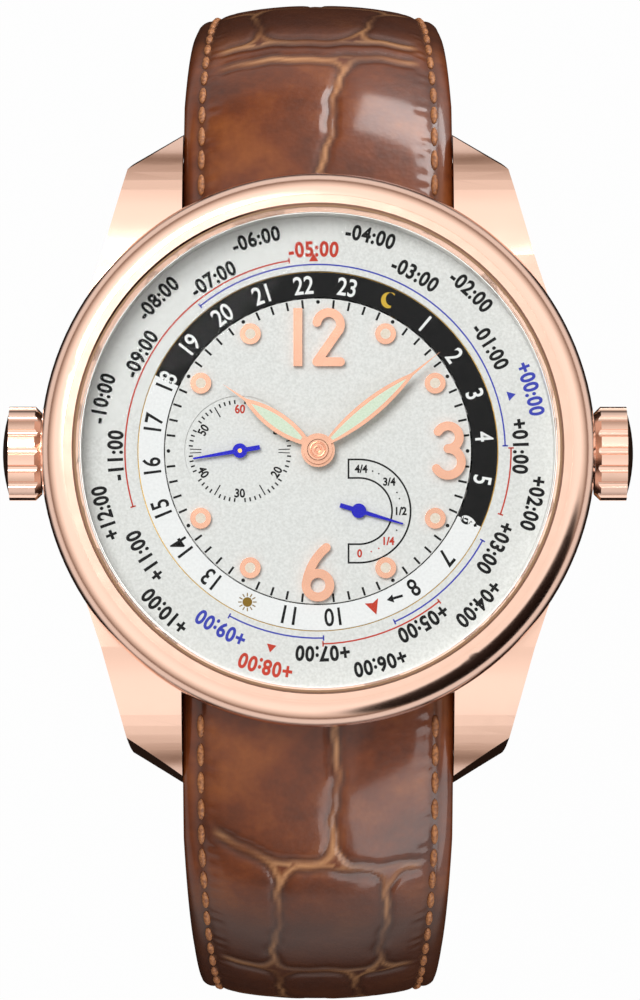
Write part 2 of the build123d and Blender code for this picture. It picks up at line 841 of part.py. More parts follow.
with BuildPart() as third_wheel:
    with BuildSketch(level(train_level_2, third_x, third_y)):
        add(spoked_outline(third_teeth, third_module, third_phase, 5))
    extrude(amount=wheel_thickness)
    with BuildSketch(level(train_level_1, third_x, third_y)):
        add(gear_outline(third_pinion_teeth, centre_module, third_pinion_phase))
    extrude(amount=train_level_2 - train_level_1)
    add(pivots(third_x, third_y))
third_wheel.part.label = "third_wheel"
export_step(third_wheel.part, "parts/third_wheel.step")

with BuildPart() as fourth_wheel:
    with BuildSketch(level(train_level_3, seconds_x, 0)):
        add(spoked_outline(fourth_teeth, fourth_module, fourth_phase, 4))
    extrude(amount=wheel_thickness)
    with BuildSketch(level(train_level_2, seconds_x, 0)):
        add(gear_outline(fourth_pinion_teeth, third_module, fourth_pinion_phase))
    extrude(amount=train_level_3 - train_level_2)
    add(pivots(seconds_x, 0))
    with BuildSketch(level(plate_bottom, seconds_x, 0)):
        Circle(pivot_radius)
    extrude(amount=small_hand_height + hand_thickness - plate_bottom)
fourth_wheel.part.label = "fourth_wheel"
export_step(fourth_wheel.part, "parts/fourth_wheel.step")

with BuildPart() as escape_wheel:
    with BuildSketch(level(train_level_2, escape_x, escape_y)):
        with BuildLine():
            escape_pitch = 360 / escape_teeth
            Polyline(
                *[
                    polar(radius, (n + share) * escape_pitch)
                    for n in range(escape_teeth)
                    for radius, share in (
                        (escape_radius - escape_tooth_depth, -tooth_root_share),
                        (escape_radius, tooth_root_share),
                        (escape_radius, tooth_root_share + tooth_tip_share),
                    )
                ],
                close=True,
            )
        make_face()
        Circle(escape_radius - escape_tooth_depth - escape_hub / 2, mode=Mode.SUBTRACT)
        Circle(escape_hub)
        with PolarLocations(escape_radius / 3, 4):
            Rectangle(escape_radius - escape_hub, escape_hub / 2)
    extrude(amount=wheel_thickness)
    with BuildSketch(level(train_level_3, escape_x, escape_y)):
        add(gear_outline(escape_pinion_teeth, fourth_module, escape_pinion_phase))
    extrude(amount=wheel_thickness)
    add(pivots(escape_x, escape_y))
escape_wheel.part.label = "escape_wheel"
export_step(escape_wheel.part, "parts/escape_wheel.step")

# Pallet lever: two arms that span the escape wheel and a fork towards the balance
balance_direction = degrees(atan2(balance_y - escape_y, balance_x - escape_x))
pallet_plane = Plane(
    origin=(pallet_x, pallet_y, at_height(train_level_2)),
    x_dir=(balance_x - escape_x, balance_y - escape_y, 0),
    z_dir=(0, 0, 1),
)
with BuildPart() as pallet_lever:
    with BuildSketch(pallet_plane):
        Circle(2 * pallet_arm)
        with Locations((pallet_fork / 2, 0)):
            Rectangle(pallet_fork, pallet_arm)
        with Locations((pallet_fork, pallet_arm), (pallet_fork, -pallet_arm)):
            Rectangle(pallet_arm, pallet_arm)
        Rectangle(pallet_arm, 2 * pallet_span)
        with Locations((-pallet_arm, pallet_span), (-pallet_arm, -pallet_span)):
            Rectangle(3 * pallet_arm, pallet_arm)
        Circle(pallet_stud_radius + running_clearance, mode=Mode.SUBTRACT)
    extrude(amount=wheel_thickness)
pallet_lever.part.label = "pallet_lever"
export_step(pallet_lever.part, "parts/pallet_lever.step")

# Balance: a rim with timing screws, two spokes, and a staff with its roller
with BuildPart() as balance_wheel:
    with BuildSketch(level(train_level_1, balance_x, balance_y)):
        Circle(balance_radius)
        Circle(balance_radius - balance_rim, mode=Mode.SUBTRACT)
        with PolarLocations(balance_radius / 2, 2):
            Rectangle(balance_radius, spoke_width)
        Circle(hub_radius)
        with PolarLocations(balance_radius, balance_screw_count):
            Circle(balance_rim / 2)
    extrude(amount=wheel_thickness)
    with BuildSketch(level(train_level_2 + 2 * wheel_gap, balance_x, balance_y)):
        Circle(roller_radius)
    extrude(amount=wheel_thickness)
    add(pivots(balance_x, balance_y))
balance_wheel.part.label = "balance_wheel"
export_step(balance_wheel.part, "parts/balance_wheel.step")

# Mainspring barrel: toothed drum, closed, turning on its arbor
with BuildPart() as barrel:
    with BuildSketch(level(train_level_2, barrel_x, barrel_y)):
        Circle(barrel_distance * barrel_teeth / (barrel_teeth + centre_pinion_teeth) * barrel_drum_share)
    extrude(amount=barrel_height)
    with BuildSketch(level(train_level_3, barrel_x, barrel_y)):
        add(gear_outline(barrel_teeth, barrel_module, barrel_phase))
    extrude(amount=wheel_thickness)
    with BuildSketch(level(train_level_2, barrel_x, barrel_y)):
        Circle(barrel_arbor_radius + running_clearance)
    extrude(amount=barrel_height, mode=Mode.SUBTRACT)
barrel.part.label = "barrel"
export_step(barrel.part, "parts/barrel.step")

# Barrel arbor with the ratchet wheel that winds it, under the barrel bridge
ratchet_bottom = bridge_bottom - wheel_gap / 2 - wheel_thickness
with BuildPart() as ratchet_wheel:
    with BuildSketch(level(ratchet_bottom, barrel_x, barrel_y)):
        with BuildLine():
            Polyline(
                *tooth_points(ratchet_teeth, ratchet_radius, ratchet_radius - ratchet_tooth, 0), close=True
            )
        make_face()
    extrude(amount=wheel_thickness)
    with BuildSketch(level(ratchet_bottom, barrel_x, barrel_y)):
        Circle(barrel_arbor_radius)
    extrude(amount=pivot_top - ratchet_bottom - running_clearance)
ratchet_wheel.part.label = "ratchet_wheel"
export_step(ratchet_wheel.part, "parts/ratchet_wheel.step")

# Main plate: holes for the pivots, slot and bearing block for the stem, stud for the pallet lever
train_places = ((0, 0), (third_x, third_y), (seconds_x, 0), (escape_x, escape_y))
pivot_places = train_places[1:] + ((balance_x, balance_y),)
with BuildPart() as main_plate:
    with BuildSketch(level(plate_bottom)):
        Circle(movement_radius)
    extrude(amount=plate_thickness)
    with BuildSketch(level(stem_height - stem_boss_radius, bearing_block_start, 0)):
        block_length = movement_radius - bearing_block_start - edge_break
        Rectangle(block_length, bearing_block_width, align=(Align.MIN, Align.CENTER))
    extrude(amount=plate_bottom - stem_height + stem_boss_radius)
    with BuildSketch(across_stem(1, stem_end_x - clutch_length / 2)):
        Circle(stem_radius + running_clearance)
    extrude(amount=movement_radius, mode=Mode.SUBTRACT)
    with BuildSketch(level(plate_bottom, stem_end_x + (clutch_length + crown_pull) / 2, 0)):
        Rectangle(clutch_length + crown_pull + 2 * piece_gap, 2 * (clutch_radius + piece_gap))
    extrude(amount=stem_height + clutch_radius + wheel_gap - plate_bottom, mode=Mode.SUBTRACT)
    with BuildSketch(level(stem_height, stem_groove_x + crown_pull / 2, 0)):
        pin_slot_width = 2 * lever_pin_radius + 2 * running_clearance
        Rectangle(crown_pull + 2 * lever_pin_radius + piece_gap, pin_slot_width)
    extrude(amount=plate_top - stem_height, mode=Mode.SUBTRACT)
    with BuildSketch(level(plate_bottom)):
        Circle(centre_arbor_radius + running_clearance)
        with Locations((seconds_x, 0)):
            Circle(pivot_radius + running_clearance)
        with Locations((reserve_x, reserve_y)):
            Circle(arbor_radius + running_clearance)
        with Locations((day_wheel_x, day_wheel_y)):
            Circle(arbor_radius + running_clearance)
    extrude(amount=plate_thickness, mode=Mode.SUBTRACT)
    with BuildSketch(level(plate_bottom)):
        with Locations(*pivot_places):
            Circle(pivot_radius + running_clearance)
        with Locations((barrel_x, barrel_y)):
            Circle(barrel_arbor_radius + running_clearance)
    extrude(amount=plate_hole_depth, mode=Mode.SUBTRACT)
    with BuildSketch(level(plate_bottom)):
        with Locations((pallet_x, pallet_y)):
            Circle(pallet_stud_radius)
    extrude(amount=train_level_2 - plate_bottom)
    with BuildSketch(level(plate_top)):
        with Locations((minute_wheel_x, minute_wheel_y)):
            Circle(pallet_stud_radius)
    extrude(amount=motion_level_3 - wheel_gap - plate_top)
    with BuildSketch(level(plate_bottom)):
        with Locations(*[polar(dial_foot_circle, angle) for angle in dial_foot_angles]):
            Circle(dial_foot_radius)
    extrude(amount=plate_thickness, mode=Mode.SUBTRACT)
main_plate.part.label = "main_plate"
export_step(main_plate.part, "parts/main_plate.step")

# Bridges share one disc, split by a straight gap; both leave the balance open
bridge_axis = Plane(
    origin=(0, 0, at_height(bridge_bottom)),
    x_dir=(*polar(1, barrel_direction), 0),
    z_dir=(0, 0, 1),
)


def bridge_half(side):
    """Half of the bridges' disc, on one side of the gap, without the balance's window."""
    with BuildSketch() as half:
        Circle(bridge_radius)
        with Locations((bridge_split + side * bridge_gap / 2, 0)):
            align_x = Align.MIN if side > 0 else Align.MAX
            Rectangle(
                2 * bridge_radius, 2 * bridge_radius, align=(align_x, Align.CENTER), mode=Mode.INTERSECT
            )
    return half.sketch


def cock_outline(margin):
    """Plan of the balance cock: a foot at the rim and an arm that narrows over the balance."""
    with BuildSketch() as outline:
        with Locations((cock_foot_x, cock_foot_y)):
            Circle(cock_foot_radius + margin)
        with Locations((balance_x, balance_y)):
            Circle(cock_head_radius + margin)
        make_hull()
    return outline.sketch


barrel_feet = [polar(foot_circle, angle) for angle in barrel_foot_angles]
train_feet = [polar(foot_circle, angle) for angle in train_foot_angles]
bridge_top = bridge_bottom + bridge_thickness
foot_height = plate_bottom - bridge_top

with BuildPart() as barrel_bridge:
    with BuildSketch(bridge_axis):
        add(bridge_half(1))
    extrude(amount=bridge_thickness)
    with BuildSketch(level(bridge_bottom)):
        with Locations((balance_x, balance_y)):
            Circle(balance_window)
        with Locations((barrel_x, barrel_y)):
            Circle(barrel_arbor_radius + running_clearance)
        add(cock_outline(bridge_gap))
    extrude(amount=bridge_thickness, mode=Mode.SUBTRACT)
    for offcut in barrel_bridge.solids().sort_by(SortBy.VOLUME)[:-1]:
        add(offcut, mode=Mode.SUBTRACT)
    with BuildSketch(level(bridge_top)):
        with Locations(*barrel_feet):
            Circle(foot_radius)
    extrude(amount=foot_height)
    with BuildSketch(level(bridge_bottom)):
        with Locations(*barrel_feet):
            Circle(screw_shank_radius)
    extrude(amount=plate_bottom - bridge_bottom, mode=Mode.SUBTRACT)
    with BuildSketch(level(bridge_bottom)):
        with Locations(*barrel_feet):
            Circle(screw_head_radius)
    extrude(amount=screw_head_height, mode=Mode.SUBTRACT)
barrel_bridge.part.label = "barrel_bridge"
export_step(barrel_bridge.part, "parts/barrel_bridge.step")

with BuildPart() as train_bridge:
    with BuildSketch(bridge_axis):
        add(bridge_half(-1))
    extrude(amount=bridge_thickness)
    with BuildSketch(level(bridge_bottom)):
        with Locations((balance_x, balance_y)):
            Circle(balance_window)
        add(cock_outline(bridge_gap))
    extrude(amount=bridge_thickness, mode=Mode.SUBTRACT)
    for offcut in train_bridge.solids().sort_by(SortBy.VOLUME)[:-1]:
        add(offcut, mode=Mode.SUBTRACT)
    with BuildSketch(level(bridge_top)):
        with Locations(*train_feet):
            Circle(foot_radius)
    extrude(amount=foot_height)
    with BuildSketch(level(bridge_bottom)):
        with Locations(*train_feet):
            Circle(screw_shank_radius)
        with Locations(*train_places):
            Circle(pivot_radius + running_clearance)
    extrude(amount=plate_bottom - bridge_bottom, mode=Mode.SUBTRACT)
    with BuildSketch(level(bridge_bottom)):
        with Locations(*train_feet):
            Circle(screw_head_radius)
        with Locations(*train_places[1:]):
            Circle(jewel_radius)
    extrude(amount=screw_head_height, mode=Mode.SUBTRACT)
train_bridge.part.label = "train_bridge"
export_step(train_bridge.part, "parts/train_bridge.step")

with BuildPart() as balance_cock:
    with BuildSketch(level(bridge_bottom)):
        add(cock_outline(0))
    extrude(amount=bridge_thickness)
    with BuildSketch(level(bridge_top)):
        with Locations((cock_foot_x, cock_foot_y)):
            Circle(foot_radius)
    extrude(amount=foot_height)
    with BuildSketch(level(bridge_bottom)):
        with Locations((cock_foot_x, cock_foot_y)):
            Circle(screw_shank_radius)
        with Locations((balance_x, balance_y)):
            Circle(pivot_radius + running_clearance)
    extrude(amount=plate_bottom - bridge_bottom, mode=Mode.SUBTRACT)
    with BuildSketch(level(bridge_bottom)):
        with Locations((cock_foot_x, cock_foot_y)):
            Circle(screw_head_radius)
        with Locations((balance_x, balance_y)):
            Circle(jewel_radius)
    extrude(amount=screw_head_height, mode=Mode.SUBTRACT)
balance_cock.part.label = "balance_cock"
export_step(balance_cock.part, "parts/balance_cock.step")

with BuildPart() as jewels:
    with BuildSketch(level(bridge_bottom)):
        with Locations(*train_places[1:], (balance_x, balance_y)):
            Circle(jewel_radius)
            Circle(pivot_radius + running_clearance, mode=Mode.SUBTRACT)
    extrude(amount=jewel_height)
jewels.part.label = "jewels"
export_step(jewels.part, "parts/jewels.step")

screw_places = barrel_feet + train_feet + [(cock_foot_x, cock_foot_y)]
with BuildPart() as bridge_screws:
    with BuildSketch(level(bridge_bottom)):
        with Locations(*screw_places):
            Circle(screw_shank_radius)
    extrude(amount=plate_bottom - bridge_bottom)
    with BuildSketch(level(bridge_bottom)):
        with Locations(*screw_places):
            Circle(screw_head_radius)
    extrude(amount=screw_head_height)
    with BuildSketch(level(bridge_bottom)):
        with Locations(*screw_places):
            Rectangle(2 * screw_head_radius, screw_slot_width)
    extrude(amount=screw_slot_depth, mode=Mode.SUBTRACT)
bridge_screws.part.label = "bridge_screws"
export_step(bridge_screws.part, "parts/bridge_screws.step")

# Winding rotor: a half disc with a heavy rim, and the bearing that it turns on
rotor_plane = level(rotor_bottom)
with BuildPart() as rotor_bearing:
    with BuildSketch(level(rotor_bottom + rotor_plate + wheel_gap)):
        Circle(rotor_bearing_radius)
    extrude(amount=bridge_bottom - rotor_bottom - rotor_plate - wheel_gap)
    with BuildSketch(rotor_plane):
        Circle(rotor_post_radius)
    extrude(amount=bridge_bottom - rotor_bottom)
rotor_bearing.part.label = "rotor_bearing"
export_step(rotor_bearing.part, "parts/rotor_bearing.step")

with BuildPart() as rotor:
    with BuildSketch(rotor_plane):
        Circle(rotor_radius)
        Circle(rotor_rim_radius, mode=Mode.SUBTRACT)
        Rectangle(2 * rotor_radius, rotor_radius, align=(Align.CENTER, Align.MAX), mode=Mode.INTERSECT)
    extrude(amount=rotor_rim)
    with BuildSketch(rotor_plane):
        Circle(rotor_rim_radius)
        Rectangle(2 * rotor_radius, rotor_radius, align=(Align.CENTER, Align.MAX), mode=Mode.INTERSECT)
        Circle(rotor_hub_radius)
    extrude(amount=rotor_plate)
    with BuildSketch(rotor_plane):
        Circle(rotor_post_radius + running_clearance)
    extrude(amount=rotor_rim, mode=Mode.SUBTRACT)
rotor.part.label = "rotor"
export_step(rotor.part, "parts/rotor.step")

# Seat of the two turning rings, notched underneath for the setting lever
with BuildPart() as ring_seat:
    with BuildSketch(level(plate_top)):
        Circle(seat_outer_radius)
        Circle(seat_inner_radius, mode=Mode.SUBTRACT)
    extrude(amount=dial_bottom - plate_top)
    with BuildSketch(level(plate_top, stem_groove_x + crown_pull / 2, lever_width / 2 - lever_reach / 2)):
        Rectangle(lever_width + crown_pull + 2 * piece_gap, lever_reach + 2 * piece_gap)
    extrude(amount=lever_thickness + 2 * wheel_gap, mode=Mode.SUBTRACT)
ring_seat.part.label = "ring_seat"
export_step(ring_seat.part, "parts/ring_seat.step")

# Dial with sunk registers, holes for the hands' pipes, and feet in the main plate
with BuildPart() as dial:
    with BuildSketch(level(dial_bottom)):
        Circle(dial_radius)
    extrude(amount=dial_thickness)
    with BuildSketch(level(dial_bottom + dial_thickness - subdial_depth)):
        with Locations((seconds_x, 0)):
            Circle(subdial_radius)
    extrude(amount=subdial_depth, mode=Mode.SUBTRACT)
    with BuildSketch(level(dial_bottom)):
        Circle(hour_pipe_radius + seat_clearance)
        with Locations((seconds_x, 0)):
            Circle(pivot_radius + seat_clearance)
        with Locations((reserve_x, reserve_y)):
            Circle(arbor_radius + seat_clearance)
    extrude(amount=dial_thickness, mode=Mode.SUBTRACT)
    with BuildSketch(level(dial_bottom)):
        with Locations(*[polar(dial_foot_circle, angle) for angle in dial_foot_angles]):
            Circle(dial_foot_radius)
    extrude(amount=plate_bottom - dial_bottom)
dial.part.label = "dial"
export_step(dial.part, "parts/dial.step")

# Twenty-four hour ring: flat face, skirt and inner teeth that the ring wheel drives
with BuildPart() as day_ring:
    with BuildSketch(level(dial_bottom)):
        Circle(day_ring_outer)
        Circle(day_ring_inner, mode=Mode.SUBTRACT)
    extrude(amount=dial_thickness)
    with BuildSketch(level(motion_level_1)):
        Circle(skirt_outer_radius)
        Circle(skirt_inner_radius, mode=Mode.SUBTRACT)
    extrude(amount=dial_bottom - motion_level_1)
    with BuildSketch(level(motion_level_1)):
        Circle(skirt_inner_radius)
        with BuildLine():
            ring_pitch_radius = day_ring_module * day_ring_teeth / 2
            Polyline(
                *tooth_points(
                    day_ring_teeth,
                    ring_pitch_radius - addendum_share * day_ring_module,
                    ring_pitch_radius + dedendum_share * day_ring_module,
                    day_ring_phase,
                ),
                close=True,
            )
        make_face(mode=Mode.SUBTRACT)
    extrude(amount=wheel_thickness)
day_ring.part.label = "day_ring"
export_step(day_ring.part, "parts/day_ring.step")

# City ring with face teeth underneath, turned by the crown at 9 o'clock
with BuildPart() as city_ring:
    with BuildSketch(level(dial_bottom)):
        Circle(city_ring_outer)
        Circle(city_ring_inner, mode=Mode.SUBTRACT)
    extrude(amount=dial_thickness)
    with BuildSketch(level(dial_bottom)):
        with PolarLocations(city_tooth_radius, city_teeth):
            tooth_half_angle = radians(180 * city_tooth_share / city_teeth)
            Rectangle(city_tooth_length, 2 * city_tooth_radius * sin(tooth_half_angle))
    extrude(amount=-city_tooth_depth)
city_ring.part.label = "city_ring"
export_step(city_ring.part, "parts/city_ring.step")

# Applied dots with their lume, and the three applied numerals drawn with one stroke width
dial_face = dial_bottom + dial_thickness
dot_angles = [30.0 * n for n in (1, 2, 4, 5, 7, 8, 10, 11)]
dot_places = [polar(dot_circle, 90 - angle) for angle in dot_angles]
with BuildPart() as hour_dots:
    with BuildSketch(level(dial_face)):
        with Locations(*dot_places):
            Circle(dot_radius)
    extrude(amount=dot_height)
    with BuildSketch(level(dial_face + dot_height / 2)):
        with Locations(*dot_places):
            Circle(dot_lume_radius)
    extrude(amount=dot_height, mode=Mode.SUBTRACT)
hour_dots.part.label = "hour_dots"
export_step(hour_dots.part, "parts/hour_dots.step")

with BuildPart() as dot_lume:
    with BuildSketch(level(dial_face + dot_height / 2)):
        with Locations(*dot_places):
            Circle(dot_lume_radius)
    extrude(amount=dot_height / 2)
dot_lume.part.label = "dot_lume"
export_step(dot_lume.part, "parts/dot_lume.step")


def curve_two(x, y, width, height):
    """Stroke of a figure 2: a round head, a diagonal and a straight foot."""
    radius = width / 2
    with BuildLine() as line:
        head = CenterArc((x, y + height / 2 - radius), radius, 170, -215)
        foot = (x - width / 2, y - height / 2)
        Line(head @ 1, foot)
        Line(foot, (x + width / 2, y - height / 2))
    return line.line


def curve_three(x, y, width, height):
    """Stroke of a figure 3: a smaller bowl over a larger one."""
    upper = height * three_bowl_shares[0]
    lower = height * three_bowl_shares[1]
    middle = y + height / 2 - 2 * upper
    with BuildLine() as line:
        CenterArc((x, middle + upper), upper, 150, -240)
        CenterArc((x, middle - lower), lower, 90, -240)
    return line.line


def curve_six(x, y, width, height):
    """Stroke of a figure 6: a round bowl and a tail that rises from its left side."""
    bowl = width / 2
    tail_share, curve_share = six_tail_shares
    with BuildLine() as line:
        CenterArc((x, y - height / 2 + bowl), bowl, 0, 180)
        CenterArc((x, y - height / 2 + bowl), bowl, 180, 180)
        tail_end = (x + bowl * tail_share, y + height / 2)
        RadiusArc((x - bowl, y - height / 2 + bowl), tail_end, height * curve_share)
    return line.line


with BuildPart() as applied_numerals:
    with BuildSketch(level(dial_face)):
        with Locations((-figure_width * twelve_shares[0], twelve_y)):
            Rectangle(numeral_stroke, figure_height + numeral_stroke)
        for stroke in (
            curve_two(figure_width * twelve_shares[1], twelve_y, figure_width, figure_height),
            curve_three(three_x, 0, figure_width, figure_height),
            curve_six(0, six_y, figure_width, figure_height),
        ):
            for edge in stroke.edges():
                trace(edge, numeral_stroke)
                with Locations(edge @ 0, edge @ 1):
                    Circle(numeral_stroke / 2)
    extrude(amount=numeral_height)
applied_numerals.part.label = "applied_numerals"
export_step(applied_numerals.part, "parts/applied_numerals.step")

# Motion work under the dial
with BuildPart() as cannon_pinion:
    with BuildSketch(level(motion_level_1)):
        add(gear_outline(cannon_teeth, motion_module, 0))
    extrude(amount=motion_level_2 - motion_level_1 - wheel_gap)
    with BuildSketch(level(motion_level_1)):
        Circle(cannon_radius)
    extrude(amount=minute_hand_height + hand_thickness + wheel_gap - motion_level_1)
    with BuildSketch(level(motion_level_1)):
        Circle(cannon_bore)
    extrude(amount=minute_hand_height + seat_clearance - motion_level_1, mode=Mode.SUBTRACT)
cannon_pinion.part.label = "cannon_pinion"
export_step(cannon_pinion.part, "parts/cannon_pinion.step")

with BuildPart() as minute_wheel:
    with BuildSketch(level(motion_level_1, minute_wheel_x, minute_wheel_y)):
        add(spoked_outline(minute_wheel_teeth, motion_module, minute_wheel_phase, 4))
    extrude(amount=wheel_thickness)
    with BuildSketch(level(motion_level_1, minute_wheel_x, minute_wheel_y)):
        add(gear_outline(minute_pinion_teeth, motion_module, minute_pinion_phase))
    extrude(amount=motion_level_2 + wheel_thickness - motion_level_1)
    with BuildSketch(level(motion_level_1, minute_wheel_x, minute_wheel_y)):
        Circle(pallet_stud_radius + running_clearance)
    extrude(amount=motion_level_3 - motion_level_1, mode=Mode.SUBTRACT)
minute_wheel.part.label = "minute_wheel"
export_step(minute_wheel.part, "parts/minute_wheel.step")

with BuildPart() as hour_wheel:
    with BuildSketch(level(motion_level_2)):
        add(gear_outline(hour_wheel_teeth, motion_module, hour_wheel_phase))
    extrude(amount=wheel_thickness)
    with BuildSketch(level(motion_level_3)):
        add(spoked_outline(day_hour_teeth, day_module, day_hour_phase, 5))
    extrude(amount=wheel_thickness)
    with BuildSketch(level(motion_level_2)):
        Circle(hour_pipe_radius)
    extrude(amount=hour_hand_height - motion_level_2)
    with BuildSketch(level(motion_level_2)):
        Circle(hour_pipe_bore)
    extrude(amount=hour_hand_height - motion_level_2, mode=Mode.SUBTRACT)
hour_wheel.part.label = "hour_wheel"
export_step(hour_wheel.part, "parts/hour_wheel.step")

# Ring wheel: takes the hour wheel's turn to the inner teeth of the 24 hour ring
with BuildPart() as ring_wheel:
    with BuildSketch(level(motion_level_1, day_wheel_x, day_wheel_y)):
        add(spoked_outline(day_pinion_teeth, day_ring_module, day_pinion_phase, 5))
    extrude(amount=wheel_thickness)
    with BuildSketch(level(motion_level_3, day_wheel_x, day_wheel_y)):
        add(spoked_outline(day_wheel_teeth, day_module, day_wheel_phase, 4))
    extrude(amount=wheel_thickness)
    with BuildSketch(level(plate_bottom, day_wheel_x, day_wheel_y)):
        Circle(arbor_radius)
    extrude(amount=motion_level_3 - plate_bottom)
ring_wheel.part.label = "ring_wheel"
export_step(ring_wheel.part, "parts/ring_wheel.step")


def leaf_outline(reach, leaf_reach, leaf_width, hub):
    """Leaf hand along +X: a hub, a leaf that swells and closes, and a needle tip."""
    with BuildSketch() as outline:
        with BuildLine():
            leaf_bulge = leaf_width / 2 - hand_needle_width / 2
            base = (hub / 2, hand_needle_width / 2)
            tip = (leaf_reach, hand_needle_width / 2)
            SagittaArc(tip, base, -leaf_bulge)
            Line(base, (hub / 2, -hand_needle_width / 2))
            SagittaArc((hub / 2, -hand_needle_width / 2), (leaf_reach, -hand_needle_width / 2), -leaf_bulge)
            Polyline((leaf_reach, -hand_needle_width / 2), (reach, 0), tip)
        make_face()
        if hub:
            Circle(hub)
    return outline.sketch


def lume_outline(leaf_reach, leaf_width, hub):
    """Opening of a leaf hand, one rim's width inside its edge."""
    start = hub + hand_rim_width
    end = leaf_reach - 2 * hand_rim_width
    bulge = leaf_width / 2 - hand_rim_width
    with BuildSketch() as outline:
        with BuildLine():
            SagittaArc((end, 0), (start, hand_rim_width / 2), -bulge + hand_rim_width / 2)
            Line((start, hand_rim_width / 2), (start, -hand_rim_width / 2))
            SagittaArc((start, -hand_rim_width / 2), (end, 0), -bulge + hand_rim_width / 2)
        make_face()
    return outline.sketch


def hand_plane(height, angle):
    """Plane of a hand at its height, with x along the hand."""
    return Plane(origin=(0, 0, at_height(height)), x_dir=(*polar(1, angle), 0), z_dir=(0, 0, 1))


hour_leaf = (hour_leaf_reach, hour_leaf_width, hour_hub_radius)
minute_leaf = (minute_leaf_reach, minute_leaf_width, minute_hub_radius)
hour_plane = hand_plane(hour_hand_height, hour_hand_angle)
minute_plane = hand_plane(minute_hand_height, minute_hand_angle)
hand_sizes = (
    ("hour", hour_plane, hour_hand_reach, hour_leaf, hour_pipe_bore),
    ("minute", minute_plane, minute_hand_reach, minute_leaf, cannon_radius),
)
for hand_name, plane, reach, leaf, bore in hand_sizes:
    with BuildPart() as hand:
        with BuildSketch(plane):
            add(leaf_outline(reach, *leaf))
            add(lume_outline(*leaf), mode=Mode.SUBTRACT)
        extrude(amount=hand_thickness)
        with BuildSketch(plane):
            Circle(hub_collar_radius)
        extrude(amount=hand_thickness + hub_collar_height)
        with BuildSketch(plane):
            Circle(bore)
        extrude(amount=hand_thickness + hub_collar_height, mode=Mode.SUBTRACT)
    hand.part.label = f"{hand_name}_hand"
    export_step(hand.part, f"parts/{hand_name}_hand.step")
    with BuildPart() as lume:
        with BuildSketch(plane):
            add(lume_outline(*leaf))
        extrude(amount=hand_thickness)
    lume.part.label = f"{hand_name}_hand_lume"
    export_step(lume.part, f"parts/{hand_name}_hand_lume.step")


def needle_outline(reach, tail, bore):
    """Small needle hand along +X: a ring hub, a tapered needle and a short tail."""
    with BuildSketch() as outline:
        with BuildLine():
            Polyline(
                (-tail, -small_hand_width / 2),
                (0, -small_hand_width / 2),
                (reach, -small_tip_width / 2),
                (reach, small_tip_width / 2),
                (0, small_hand_width / 2),
                (-tail, small_hand_width / 2),
                close=True,
            )
        make_face()
        Circle(small_hub_radius)
        Circle(bore, mode=Mode.SUBTRACT)
    return outline.sketch


seconds_plane = Plane(
    origin=(seconds_x, 0, at_height(small_hand_height)),
    x_dir=(*polar(1, seconds_hand_angle), 0),
    z_dir=(0, 0, 1),
)
with BuildPart() as seconds_hand:
    with BuildSketch(seconds_plane):
        add(needle_outline(seconds_hand_reach, seconds_hand_tail, pivot_radius))
    extrude(amount=hand_thickness)
seconds_hand.part.label = "seconds_hand"
export_step(seconds_hand.part, "parts/seconds_hand.step")

reserve_plane = Plane(
    origin=(reserve_x, reserve_y, at_height(small_hand_height)),
    x_dir=(*polar(1, reserve_hand_angle), 0),
    z_dir=(0, 0, 1),
)
with BuildPart() as reserve_hand:
    with BuildSketch(reserve_plane):
        add(needle_outline(reserve_hand_reach, reserve_hand_tail, edge_break))
    extrude(amount=hand_thickness)
    with BuildSketch(level(plate_bottom, reserve_x, reserve_y)):
        Circle(arbor_radius)
    extrude(amount=small_hand_height + hand_thickness - plate_bottom)
reserve_hand.part.label = "reserve_hand"
export_step(reserve_hand.part, "parts/reserve_hand.step")

# Strap: side outlines of its two halves, both closing the loop under the wrist
inner_layer_bottom = outer_layer_bottom + strap_low_thickness + keeper_clearance
keeper_top = inner_layer_bottom + strap_low_thickness + keeper_clearance


def strap_side(reach, bottom, end_y):
    """Side outline of a strap half that runs from the case, round the loop, to its end."""
    outer_radius = strap_widest_height - bottom
    inner_bottom = bottom + strap_low_thickness
    inner_reach = reach - strap_thickness
    inner_radius = strap_widest_height - inner_bottom
    top = at_height(strap_top_height)
    with BuildSketch() as outline:
        with BuildLine():
            Line((strap_top_y, top), (strap_top_y, at_height(strap_foot_height)))
            RadiusArc(
                (strap_top_y, at_height(strap_foot_height)),
                (inner_reach, strap_widest_height),
                inner_reach * upper_arc_share,
            )
            TangentArc(
                (inner_reach, strap_widest_height),
                (inner_reach - inner_radius, inner_bottom),
                tangent=(0, -1),
            )
            Line((inner_reach - inner_radius, inner_bottom), (end_y, inner_bottom))
            Line((end_y, inner_bottom), (end_y, bottom))
            Line((end_y, bottom), (reach - outer_radius, bottom))
            TangentArc((reach - outer_radius, bottom), (reach, strap_widest_height), tangent=(1, 0))
            RadiusArc((reach, strap_widest_height), (strap_top_y, top), -reach * upper_arc_share)
        make_face()
    return outline.sketch


def strap_plan():
    """Front outline that every strap half is trimmed to: straight at the lugs, then tapering."""
    top = at_height(strap_top_height) + cut_overrun
    with BuildSketch() as outline:
        with BuildLine():
            Polyline(
                (strap_half_width, top),
                (strap_half_width, bar_line),
                (strap_mid_half_width, strap_widest_height),
                (strap_low_half_width, strap_low_height),
                (strap_low_half_width, 0),
                (-strap_low_half_width, 0),
                (-strap_low_half_width, strap_low_height),
                (-strap_mid_half_width, strap_widest_height),
                (-strap_half_width, bar_line),
                (-strap_half_width, top),
                close=True,
            )
        make_face()
    return outline.sketch


